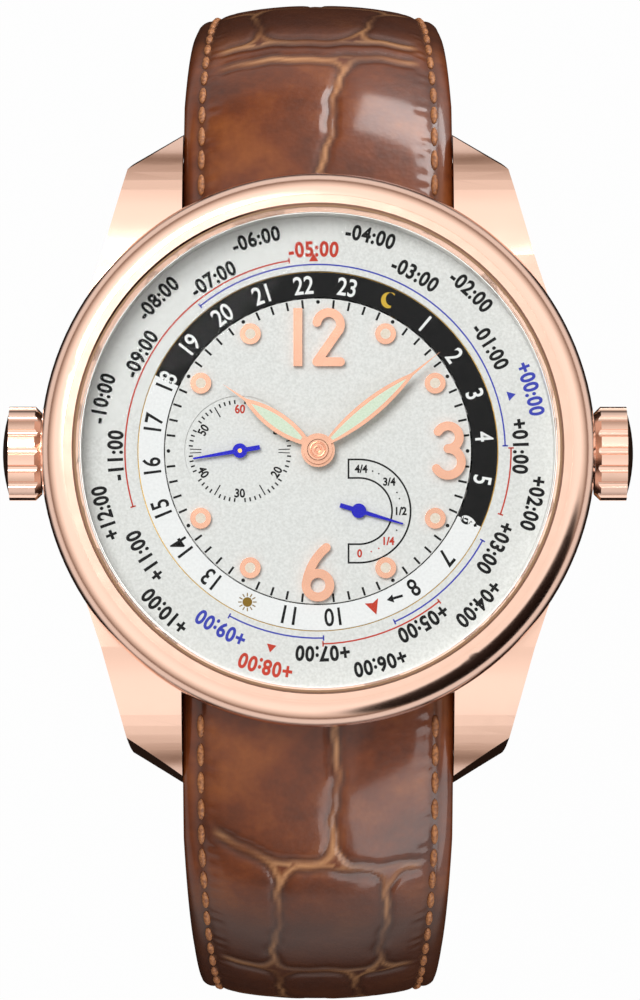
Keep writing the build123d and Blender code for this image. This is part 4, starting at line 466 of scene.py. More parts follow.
black_ink = ink("black_dial_ink", "#0C0C0D")
white_ink = ink("white_dial_ink", "#F4F4F2")
red_ink = ink("red_dial_ink", "#C8402E")
blue_ink = ink("blue_dial_ink", "#3E46B4")
moon_ink = ink("gold_dial_ink", "#D9B23C")
sun_ink = ink("bronze_dial_ink", "#8A6A1E")


class Print:
    """Flat printed shapes gathered for one ink on one body: lists of points and faces."""

    def __init__(self, level):
        self.points = []
        self.faces = []
        self.level = level

    def shape(self, outline):
        """Adds one closed outline, given counterclockwise, as a thin raised plate."""
        first = len(self.points)
        count = len(outline)
        self.points += [(x, y, self.level) for x, y in outline]
        self.points += [(x, y, self.level + ink_height) for x, y in outline]
        self.faces.append([first + n for n in reversed(range(count))])
        self.faces.append([first + count + n for n in range(count)])
        for n in range(count):
            m = (n + 1) % count
            self.faces.append([first + n, first + m, first + count + m, first + count + n])

    def arc(self, centre, radius, width, start, end):
        """Adds a printed arc, with clockwise angles in degrees from 12 o'clock."""
        steps = max(2, round(abs(end - start) / 3))
        for n in range(steps):
            a = start + (end - start) * n / steps
            b = start + (end - start) * (n + 1) / steps
            ring = [clock(centre, radius + width / 2, a), clock(centre, radius + width / 2, b)]
            ring += [clock(centre, radius - width / 2, b), clock(centre, radius - width / 2, a)]
            self.shape(ring[::-1])

    def bar(self, centre, inner, outer, width, angle):
        """Adds a radial tick."""
        lean = math.degrees(width / 2 / ((inner + outer) / 2))
        ring = [clock(centre, inner, angle - lean), clock(centre, outer, angle - lean * inner / outer)]
        ring += [clock(centre, outer, angle + lean * inner / outer), clock(centre, inner, angle + lean)]
        self.shape(ring[::-1])

    def disc(self, centre, radius, sides=16):
        """Adds a printed dot."""
        self.shape([clock(centre, radius, -360 * n / sides) for n in range(sides)])

    def made(self, name, paint, body, slot):
        """Turns the gathered shapes into one mesh piece on its body."""
        mesh = bpy.data.meshes.new(name)
        mesh.from_pydata(self.points, [], self.faces)
        mesh.validate()
        piece = link(name, mesh, paint)
        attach(piece, body)
        return piece


def clock(centre, radius, angle):
    """Point at a clockwise angle in degrees from 12 o'clock about a centre."""
    turn = math.radians(angle)
    return (centre[0] + radius * math.sin(turn), centre[1] + radius * math.cos(turn))


def letters(words, height, width_share=1.0, slant=0.0, weight=0.0, spread=1.0):
    """Triangles of printed words lying flat, centred on their own middle, with digits of a given height."""
    text = bpy.data.curves.new("words", "FONT")
    text.body = words
    text.resolution_u = 4
    text.offset = weight
    text.space_character = spread
    lay = bpy.data.objects.new("words", text)
    scene.collection.objects.link(lay)
    mesh = bpy.data.meshes.new_from_object(lay.evaluated_get(bpy.context.evaluated_depsgraph_get()))
    points = np.array([v.co[:2] for v in mesh.vertices])
    faces = [list(p.vertices) for p in mesh.polygons]
    bpy.data.objects.remove(lay)
    bpy.data.meshes.remove(mesh)
    low, high = points.min(0), points.max(0)
    scale = height / (high[1] - low[1])
    points = (points - (low + high) / 2) * scale
    points[:, 0] = points[:, 0] * width_share + points[:, 1] * slant
    return points, faces


def lettering(prints, words, centre, radius, angle, height, turned=0.0, inward=False, upright=False, **style):
    """Prints words round a circle, tops outward, or tops inward, or upright at a place on it."""
    points, faces = letters(words, height, **style)
    first = len(prints.points)
    flip = -1 if inward else 1
    middle = clock(centre, radius, angle)
    for x, y in points:
        if upright:
            where = (middle[0] + x, middle[1] + y)
        else:
            around = math.degrees(x / radius)
            where = clock(centre, radius + flip * y, angle + flip * around)
        prints.points.append((where[0], where[1], prints.level + ink_height))
    for face in faces:
        prints.faces.append([first + n for n in face])


def tree_of(name, *numbers):
    """Geometry node tree with a geometry input, named number inputs and a geometry output."""
    made = bpy.data.node_groups.new(name, "GeometryNodeTree")
    made.interface.new_socket("Geometry", in_out="INPUT", socket_type="NodeSocketGeometry")
    for number in numbers:
        made.interface.new_socket(number, in_out="INPUT", socket_type="NodeSocketFloat")
    made.interface.new_socket("Geometry", in_out="OUTPUT", socket_type="NodeSocketGeometry")
    return made, made.nodes.new("NodeGroupInput").outputs


def finish_tree(tree, geometry, paint):
    """Ends a geometry node tree in real, painted geometry."""
    real = add(tree, "GeometryNodeRealizeInstances", {0: geometry})
    painted = add(tree, "GeometryNodeSetMaterial", {"Geometry": real.outputs[0], "Material": paint})
    add(tree, "NodeGroupOutput", {0: painted.outputs[0]})


def grown(name, mesh, tree, **numbers):
    """Piece made from a guide mesh by a geometry node tree, kept as plain mesh."""
    guide = link(name, mesh)
    repeat = guide.modifiers.new("repeat", "NODES")
    repeat.node_group = tree
    for socket in tree.interface.items_tree:
        if socket.in_out == "INPUT" and socket.name in numbers:
            repeat[socket.identifier] = numbers[socket.name]
    bpy.context.view_layer.update()
    plain = bpy.data.meshes.new_from_object(guide.evaluated_get(bpy.context.evaluated_depsgraph_get()))
    bpy.data.objects.remove(guide)
    plain.name = name
    piece = bpy.data.objects.new(name, plain)
    scene.collection.objects.link(piece)
    return piece


ticking, given = tree_of("ring_of_ticks", "Count", "Every", "Radius", "Length", "Width")
number = add(ticking, "GeometryNodeInputIndex").outputs[0]
circle = add(ticking, "GeometryNodeMeshCircle", {"Vertices": given["Count"], "Radius": given["Radius"]})
size = add(ticking, "ShaderNodeCombineXYZ", {0: given["Length"], 1: given["Width"], 2: 2 * ink_height})
mark = add(ticking, "GeometryNodeMeshCube", {"Size": size.outputs[0]})
step = add(ticking, "ShaderNodeMath", {0: 2 * math.pi, 1: given["Count"]}, operation="DIVIDE")
turn = add(ticking, "ShaderNodeMath", {0: number, 1: step.outputs[0]}, operation="MULTIPLY")
lean = add(ticking, "ShaderNodeCombineXYZ", {2: turn.outputs[0]})
way = add(ticking, "FunctionNodeEulerToRotation", {0: lean.outputs[0]})
kept = add(ticking, "ShaderNodeMath", {0: number, 1: given["Every"]}, operation="MODULO")
each = {"Points": circle.outputs[0], "Selection": kept.outputs[0], "Instance": mark.outputs["Mesh"], "Rotation": way.outputs[0]}
ring = add(ticking, "GeometryNodeInstanceOnPoints", each)
placed = add(ticking, "GeometryNodeInstanceOnPoints", {"Points": given["Geometry"], "Instance": ring.outputs[0]})
finish_tree(ticking, placed.outputs[0], black_ink)


def ring_of_ticks(name, centre, level, inner, outer, width):
    """Printed ring of sixty ticks about a centre, leaving out every fifth."""
    spot = bpy.data.meshes.new(f"{name}_centre")
    spot.from_pydata([(centre[0], centre[1], level)], [], [])
    sizes = {"Count": 60.0, "Every": 5.0, "Radius": (inner + outer) / 2, "Length": outer - inner, "Width": width}
    ticks = grown(name, spot, ticking, **sizes)
    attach(ticks, "head")


black = Print(dial_face)
red = Print(dial_face)
middle = (0.0, 0.0)
ring_of_ticks("minute_ticks", middle, dial_face, 10.6 * mm, 11.24 * mm, 0.16 * mm)
for hour in range(12):
    black.disc(clock(middle, 11.05 * mm, hour * 30), 0.14 * mm)

# Small seconds: a sunk register at 9 o'clock with a printed track.
seconds_centre = (-5.77 * mm, 0.0)
recess_face = dial_face - 0.12 * mm
low_black = Print(recess_face)
low_red = Print(recess_face)
ring_of_ticks("seconds_ticks", seconds_centre, recess_face, 3.5 * mm, 3.8 * mm, 0.11 * mm)
for second in (5, 25, 35, 55):
    low_black.bar(seconds_centre, 2.9 * mm, 3.75 * mm, 0.1 * mm, second * 6)
for angle in (90, 270):
    for side in (-2.2, 2.2):
        low_black.bar(seconds_centre, 2.85 * mm, 3.7 * mm, 0.07 * mm, angle + side)
for value, ring in ((60, low_red), (10, low_black), (20, low_black), (30, low_black), (40, low_black), (50, low_black)):
    angle = value * 6
    below = 90 < angle < 270
    lettering(ring, str(value), seconds_centre, 3.12 * mm, angle, 0.68 * mm, inward=below, width_share=0.88, weight=0.03)
low_black.made("seconds_track_print", black_ink, "head", "black_ring")
low_red.made("seconds_sixty_print", red_ink, "head", "black_ring")

# Power reserve scale: a printed half band with quarter marks, black down to a half and red below.
reserve_centre = (3.02 * mm, -4.45 * mm)
band_inner = 2.45 * mm
band_outer = 3.82 * mm
band_tab = 0.7 * mm
line = 0.13 * mm
for radius in (band_inner, band_outer):
    black.arc(reserve_centre, radius, line, 0, 180)
    for side in (-1, 1):
        y = reserve_centre[1] + side * radius
        x = reserve_centre[0]
        black.shape([(x - band_tab, y - line / 2), (x, y - line / 2), (x, y + line / 2), (x - band_tab, y + line / 2)])
for side in (-1, 1):
    low = reserve_centre[1] + side * (band_inner if side > 0 else band_outer) - line / 2
    high = reserve_centre[1] + side * (band_outer if side > 0 else band_inner) + line / 2
    x = reserve_centre[0] - band_tab
    black.shape([(x - line, low), (x, low), (x, high), (x - line, high)])
for words, angle, ring in (("4/4", 3, black), ("3/4", 46, black), ("1/2", 90, black), ("1/4", 135, red), ("0", 179, red)):
    lettering(ring, words, reserve_centre, 3.13 * mm, angle, 0.62 * mm, upright=True, width_share=0.9, weight=0.035)
for angle in (19, 28, 64, 73, 117):
    black.disc(clock(reserve_centre, 3.13 * mm, angle), 0.06 * mm, 8)
for angle in (152, 163):
    red.disc(clock(reserve_centre, 3.13 * mm, angle), 0.06 * mm, 8)
black.made("dial_black_print", black_ink, "head", "black_ring")
red.made("dial_red_print", red_ink, "head", "black_ring")

# Day and night ring: turns once in 24 hours, lacquered black from 18 to 6 o'clock and white by day.
night_middle = 25.0
lacquered, tree = material("day_and_night_lacquer")
place = add(tree, "ShaderNodeTexCoord").outputs["Object"]
night = (math.sin(math.radians(night_middle)), math.cos(math.radians(night_middle)), 0.0)
side = add(tree, "ShaderNodeVectorMath", {0: place, 1: night}, operation="DOT_PRODUCT")
dark = add(tree, "ShaderNodeMath", {0: side.outputs["Value"], 1: 0.0}, operation="GREATER_THAN")
speck = add(tree, "ShaderNodeTexNoise", {"Vector": place, "Scale": 5000.0})
day = add(tree, "ShaderNodeValToRGB", {"Fac": speck.outputs["Fac"]})
stops(day, (0.3, "#F0F0EF"), (0.7, "#F8F8F7"))
both = add(tree, "ShaderNodeMix", {0: dark.outputs[0], 6: day.outputs["Color"], 7: tint("#0B0B0C")}, data_type="RGBA")
lacquer = {"Base Color": both.outputs[2], "Roughness": 0.5, "Specular IOR Level": 0.12}
shader = add(tree, "ShaderNodeBsdfPrincipled", lacquer)
add(tree, "ShaderNodeOutputMaterial", {"Surface": shader.outputs[0]})
dress(lacquered, "day_ring")
ring_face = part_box("day_ring")[1].z
ring_black = Print(ring_face)
ring_white = Print(ring_face)
hour_circle = 12.33 * mm


def halved(points, faces, ring_day, ring_night, angle):
    """Prints digits that stand across the edge of night, black on the day side and white on the other."""
    for face in faces:
        corners = [clock(middle, hour_circle + y, angle + math.degrees(x / hour_circle)) for x, y in (points[n] for n in face)]
        centre = np.mean(corners, axis=0)
        ring = ring_night if centre[0] * night[0] + centre[1] * night[1] > 0 else ring_day
        first = len(ring.points)
        ring.points += [(x, y, ring.level + ink_height) for x, y in corners]
        ring.faces.append([first + n for n in range(len(corners))])


for hour in range(1, 24):
    angle = night_middle + hour * 15
    if hour in (9, 12):
        continue
    style = {"width_share": 0.82, "slant": 0.0, "weight": 0.014}
    if hour in (6, 18):
        halved(*letters(str(hour), 1.35 * mm, **style), ring_black, ring_white, angle)
        continue
    ring = ring_white if hour < 6 or hour > 18 else ring_black
    lettering(ring, str(hour), middle, hour_circle, angle, 1.35 * mm, **style)
arrow = clock(middle, 12.3 * mm, 152.5)
ring_black.shape([(arrow[0] - 0.1 * mm, arrow[1] - 0.08 * mm), (arrow[0] + 0.6 * mm, arrow[1] + 0.12 * mm), (arrow[0] + 0.55 * mm, arrow[1] + 0.3 * mm), (arrow[0] - 0.15 * mm, arrow[1] + 0.1 * mm)])
ring_black.shape([(arrow[0] - 0.6 * mm, arrow[1] - 0.12 * mm), (arrow[0] - 0.05 * mm, arrow[1] - 0.3 * mm), (arrow[0] - 0.2 * mm, arrow[1] + 0.3 * mm)])
ring_red = Print(ring_face)
nine = night_middle + 135
ring_red.shape([clock(middle, 12.85 * mm, nine + 0.4), clock(middle, 11.75 * mm, nine - 2.2), clock(middle, 11.95 * mm, nine + 0.2), clock(middle, 11.8 * mm, nine + 3.0)][::-1])
ring_gold = Print(ring_face)
moon = clock(middle, hour_circle, night_middle)
crescent = [(moon[0] + 0.55 * mm * math.cos(a), moon[1] + 0.6 * mm * math.sin(a)) for a in np.linspace(0.6, 5.0, 14)]
crescent += [(moon[0] + 0.22 * mm + 0.42 * mm * math.cos(a), moon[1] + 0.08 * mm + 0.5 * mm * math.sin(a)) for a in np.linspace(4.7, 0.9, 12)]
for n in range(12):
    ring_gold.shape([crescent[n], crescent[n + 1], crescent[25 - n - 1] if n < 12 else crescent[13], crescent[25 - n]])
ring_bronze = Print(ring_face)
sun = clock(middle, hour_circle, night_middle + 180)
ring_bronze.disc(sun, 0.36 * mm)
for n in range(12):
    ring_bronze.bar(sun, 0.42 * mm, 0.68 * mm, 0.1 * mm, n * 30)
ring_black.made("day_hours_print", black_ink, "day_ring_body", "black_ring")
ring_white.made("night_hours_print", white_ink, "day_ring_body", "black_ring")
ring_red.made("ring_triangle_print", red_ink, "day_ring_body", "black_ring")
ring_gold.made("moon_print", moon_ink, "day_ring_body", "black_ring")
ring_bronze.made("sun_print", sun_ink, "day_ring_body", "black_ring")

# City ring: silvered like the dial, turned by the left crown. Its two rows give each zone's offset.
city_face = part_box("city_ring")[1].z
city_black = Print(city_face)
city_red = Print(city_face)
city_blue = Print(city_face)
zone_start = -1.3
zero_zone = 5
for zone in range(24):
    offset = (zone - zero_zone + 11) % 24 - 11
    words = f"{'-' if offset < 0 else '+'}{abs(offset):02d}:00"
    ring = {0: city_red, 13: city_red, 5: city_blue, 14: city_blue}.get(zone, city_black)
    radius = 16.45 * mm if zone % 2 else 15.0 * mm
    lettering(ring, words, middle, radius, zone_start + zone * 15, 1.2 * mm, width_share=0.86, weight=0.034, spread=1.1)
arc_width = 0.11 * mm
for ring, radius, arcs in (
    (city_blue, 13.84 * mm, ((-39.0, 88.4), (118.6, 155.9), (178.3, 208.2))),
    (city_red, 14.27 * mm, ((-106.8, -8.6), (89.1, 109.2), (141.2, 178.5))),
):
    for start, end in arcs:
        ring.arc(middle, radius, arc_width, start, end)
        for angle in (start, end):
            ring.bar(middle, radius - 0.2 * mm, radius + 0.2 * mm, arc_width, angle)
for ring, radius, angle in ((city_red, 14.36 * mm, -1.3), (city_blue, 14.9 * mm, 73.9), (city_red, 15.0 * mm, 193.4)):
    ring.shape([clock(middle, radius + 0.32 * mm, angle), clock(middle, radius - 0.28 * mm, angle + 1.4), clock(middle, radius - 0.28 * mm, angle - 1.4)][::-1])
city_black.made("zone_black_print", black_ink, "city_ring_body", "black_ring")
city_red.made("zone_red_print", red_ink, "city_ring_body", "black_ring")
city_blue.made("zone_blue_print", blue_ink, "city_ring_body", "black_ring")

# Applied hour marks: rose gold numerals and cups on feet, each cup filled with luminous paste.
polished("applied_numerals", "rose_gold_numerals", applied_gold, angle=35.0, bevel=0.17 * mm)
polished("hour_dots", "rose_gold_cups", applied_gold, bevel=0.07 * mm)
paste, tree = material("luminous_paste")
place = add(tree, "ShaderNodeTexCoord").outputs["Object"]
speck = add(tree, "ShaderNodeTexNoise", {"Vector": place, "Scale": 7000.0, "Detail": 3.0})
hue = add(tree, "ShaderNodeValToRGB", {"Fac": speck.outputs["Fac"]})
stops(hue, (0.3, "#D3E4C8"), (0.7, "#E6F2DC"))
grain = add(tree, "ShaderNodeBump", {"Height": speck.outputs["Fac"], "Strength": 0.3, "Distance": 0.00002})
shader = add(tree, "ShaderNodeBsdfPrincipled", {"Base Color": hue.outputs["Color"], "Roughness": 0.7, "Normal": grain.outputs[0]})
add(tree, "ShaderNodeOutputMaterial", {"Surface": shader.outputs[0]})
dress(paste, "hour_hand_lume", "minute_hand_lume")
cream, tree = material("cream_luminous_paste")
place = add(tree, "ShaderNodeTexCoord").outputs["Object"]
speck = add(tree, "ShaderNodeTexNoise", {"Vector": place, "Scale": 7000.0, "Detail": 3.0})
hue = add(tree, "ShaderNodeValToRGB", {"Fac": speck.outputs["Fac"]})
stops(hue, (0.3, "#E3D3BE"), (0.7, "#F2E6D6"))
grain = add(tree, "ShaderNodeBump", {"Height": speck.outputs["Fac"], "Strength": 0.3, "Distance": 0.00002})
shader = add(tree, "ShaderNodeBsdfPrincipled", {"Base Color": hue.outputs["Color"], "Roughness": 0.6, "Normal": grain.outputs[0]})
add(tree, "ShaderNodeOutputMaterial", {"Surface": shader.outputs[0]})
dress(cream, "dot_lume")

# Hands: rose gold leaves with open middles filled with luminous paste, on stepped hubs.
polished("hour_hand", "rose_gold_hour_hand", applied_gold)
polished("minute_hand", "rose_gold_minute_hand", applied_gold)

# Strap: glazed alligator leather over padding, its two halves bent round the wrist and buckled.
# Large square scales lie between paler ridges, and the cut edges are turned down over the padding.
wide_level = 27.5 * mm
strap_step = 0.3 * mm
lining_depth = 0.9 * mm
layer = 2.4 * mm
body_thickness = 4.4 * mm
case_end = (17.0 * mm, 53.4 * mm, 45.7 * mm)
case_edge = 20.15 * mm
stitch_inset = 1.35 * mm
width_heights = [0, 8.0 * mm, wide_level, 47.8 * mm, 60 * mm]
half_widths = [7.9 * mm, 7.9 * mm, 9.0 * mm, 10.06 * mm, 10.06 * mm]


def bend(start, end, radius, count):
    """Points of an arc between two points of the side view, bulging away from the wrist."""
    start, end = np.array(start), np.array(end)
    run = end - start
    half = np.linalg.norm(run) / 2
    inward = np.array((run[1], -run[0])) / (2 * half)
    inward *= -np.sign(inward[0])
    centre = (start + end) / 2 + inward * math.sqrt(radius**2 - half**2)
    first, last = (math.atan2(*(point - centre)[::-1]) for point in (start, end))
    turns = np.linspace(first, last, count)
    return centre + radius * np.stack((np.cos(turns), np.sin(turns)), axis=1)


def strap_line(reach, bottom, end, top, counts):
    """Side view of one face of a strap half: from the case, round the loop, along the table."""
    radius = wide_level - bottom
    first = bend((case_end[0], top), (reach, wide_level), reach * 0.72, counts[0])
    second = bend((reach, wide_level), (reach - radius, bottom), radius, counts[1])
    third = np.linspace((reach - radius, bottom), (end, bottom), counts[2])
    line = np.concatenate((first, second[1:], third[1:]))
    for _ in range(30):
        line[1:-1] = (line[:-2] + 2 * line[1:-1] + line[2:]) / 4
    return line


def along(line, shares):
    """Points of a line at shares of its number of steps."""
    steps = shares * (len(line) - 1)
    return np.stack([np.interp(steps, np.arange(len(line)), line[:, k]) for k in (0, 1)], axis=-1)


def scale_seams(x, s, rows, columns):
    """Distance in metres of each point from the nearest seam between the hide's scales."""
    sway = x + 0.16 * mm * np.sin(900 * s + 0.7) + 0.08 * mm * np.sin(2600 * s)
    drift = s + 0.18 * mm * np.sin(800 * x + 1.3) + 0.08 * mm * np.sin(2300 * x)
    places = (-9 * mm, -2.5 * mm, 9 * mm)
    edges = [np.interp(x, places, np.array(row) * mm) for row in rows]
    across = np.full(x.shape, 9 * mm)
    beside = np.full(x.shape, 9 * mm)
    for number in range(len(rows) - 1):
        inside = (drift >= edges[number]) & (drift < edges[number + 1])
        share = (drift - edges[number]) / np.maximum(edges[number + 1] - edges[number], mm)
        near = np.minimum(drift - edges[number], edges[number + 1] - drift) / 1.7
        across = np.where(inside, near, across)
        for low, high in columns[number]:
            gap = np.abs(sway - (low + (high - low) * share) * mm)
            beside = np.where(inside, np.minimum(beside, gap), beside)
    corner = 1.5 * mm
    return corner - np.hypot(np.maximum(corner - across, 0), np.maximum(corner - beside, 0))


def hide_rows(first_rows, first_columns, length, seed):
    """Rows and columns of scales: the ones that show in front are given, the rest follow by rule."""
    chance = np.random.default_rng(seed)
    rows, columns = [list(row) for row in first_rows], [list(c) for c in first_columns]
    while rows[-1][1] < length:
        pitch = max(6.0, 10.5 - 0.055 * rows[-1][1]) + chance.uniform(-0.6, 0.6)
        rows.append([edge + pitch + chance.uniform(-0.4, 0.4) for edge in rows[-1]])
        middle = 0.0 if len(rows) % 2 else 2.9
        lean = chance.uniform(-0.4, 0.4)
        pair = [(middle + lean, middle - lean)] if middle == 0 else [(-middle + lean, -middle), (middle, middle + lean)]
        columns.append(pair)
    return rows, columns


strap_halves = (
    (
        "strap_upper",
        1,
        3.9 * mm,
        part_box("buckle_bar")[0].y / 2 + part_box("buckle_bar")[1].y / 2,
        ((-8, -8, -8), (12.4, 12.8, 13.3), (15.1, 15.5, 15.9), (25.0, 25.4, 25.8)),
        (((-1.0, 2.0),), (), ((2.8, 5.6), (-4.4, -4.9))),
        11,
    ),
    (
        "strap_lower",
        -1,
        1.35 * mm,
        -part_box("strap_lower")[1].y,
        ((-8, -8, -8), (9.0, 12.0, 12.7), (24.8, 25.6, 26.0)),
        (((1.7, 1.1),), ((-2.7, -3.5), (5.4, 4.6))),
        23,
    ),
)
leather, tree = material("glazed_alligator_leather")
sheet = add(tree, "ShaderNodeUVMap", uv_map="hide").outputs["UV"]
ridge = add(tree, "ShaderNodeAttribute", attribute_name="ridge").outputs["Fac"]
groove_shade = add(tree, "ShaderNodeAttribute", attribute_name="groove_shade").outputs["Fac"]
cloud = add(tree, "ShaderNodeTexNoise", {"Vector": sheet, "Scale": 150.0, "Detail": 4.0, "Roughness": 0.6})
body = add(tree, "ShaderNodeValToRGB", {"Fac": cloud.outputs["Fac"]})
stops(body, (0.3, "#3D1807"), (0.5, "#5E2A0C"), (0.72, "#7F441A"))
speckle = add(tree, "ShaderNodeTexNoise", {"Vector": sheet, "Scale": 1900.0, "Detail": 3.0})
fleck = add(tree, "ShaderNodeMapRange", {"Value": speckle.outputs["Fac"], "To Min": 0.86, "To Max": 1.12})
dyed = add(tree, "ShaderNodeHueSaturation", {"Color": body.outputs["Color"], "Value": fleck.outputs[0]})
# Painted shade: the attribute read here darkens the dyed leather towards a near black brown, on the strap away from the
# case and on the keepers.
painted_shade = add(tree, "ShaderNodeAttribute", attribute_name="painted_shade").outputs["Fac"]
shaded = add(tree, "ShaderNodeMix", {0: painted_shade, 6: dyed.outputs["Color"], 7: tint("#2F170D")}, data_type="RGBA")
# Painted shade: the groove attribute darkens the leather in the grooves beside the scale ridges, along the stitching
# and along the keepers' pressed lines.
dark = add(tree, "ShaderNodeMix", {0: groove_shade, 6: shaded.outputs[2], 7: tint("#2B140A")}, data_type="RGBA")
pale = add(tree, "ShaderNodeMix", {0: ridge, 6: dark.outputs[2], 7: tint("#B9875C")}, data_type="RGBA")
pores = add(tree, "ShaderNodeTexVoronoi", {"Vector": sheet, "Scale": 2600.0})
creased = add(tree, "ShaderNodeMath", {0: pores.outputs["Distance"], 1: cloud.outputs["Fac"]}, operation="ADD")
grain = add(tree, "ShaderNodeBump", {"Height": creased.outputs[0], "Strength": 0.18, "Distance": 0.00006})
worn = add(tree, "ShaderNodeMapRange", {"Value": speckle.outputs["Fac"], "To Min": 0.34, "To Max": 0.5})
glaze = {"Base Color": pale.outputs[2], "Roughness": worn.outputs[0], "Normal": grain.outputs[0]}
glaze.update({"Specular IOR Level": 0.22, "Coat Weight": 0.4, "Coat Roughness": 0.12})
shader = add(tree, "ShaderNodeBsdfPrincipled", glaze)
add(tree, "ShaderNodeOutputMaterial", {"Surface": shader.outputs[0]})

# Lining: smooth calf leather, glued inside each half and pale where it meets the skin.
calf, tree = material("smooth_calf_lining")
sheet = add(tree, "ShaderNodeTexCoord").outputs["Object"]
pores = add(tree, "ShaderNodeTexVoronoi", {"Vector": sheet, "Scale": 3200.0})
cloud = add(tree, "ShaderNodeTexNoise", {"Vector": sheet, "Scale": 220.0, "Detail": 3.0})
hue = add(tree, "ShaderNodeValToRGB", {"Fac": cloud.outputs["Fac"]})
stops(hue, (0.3, "#A8794F"), (0.7, "#BC8D62"))
grain = add(tree, "ShaderNodeBump", {"Height": pores.outputs["Distance"], "Strength": 0.25, "Distance": 0.00005})
shader = add(tree, "ShaderNodeBsdfPrincipled", {"Base Color": hue.outputs["Color"], "Roughness": 0.55, "Normal": grain.outputs[0]})
add(tree, "ShaderNodeOutputMaterial", {"Surface": shader.outputs[0]})


def tube_faces(rows, ring):
    """Faces of a closed tube of rings of points, with both ends capped."""
    faces = [list(reversed(range(ring)))]
    for row in range(rows - 1):
        for n in range(ring):
            m = (n + 1) % ring
            faces.append([row * ring + n, row * ring + m, (row + 1) * ring + m, (row + 1) * ring + n])
    faces.append([(rows - 1) * ring + n for n in range(ring)])
    return faces


def prism(outline, low, high):
    """Upright prism over an outline, to cut openings with."""
    count = len(outline)
    mesh = bpy.data.meshes.new("cutter")
    points = [(x, y, low) for x, y in outline] + [(x, y, high) for x, y in outline]
    sides = [[n, (n + 1) % count, count + (n + 1) % count, count + n] for n in range(count)]
    mesh.from_pydata(points, [], [list(reversed(range(count))), list(range(count, 2 * count))] + sides)
    return link("cutter", mesh)


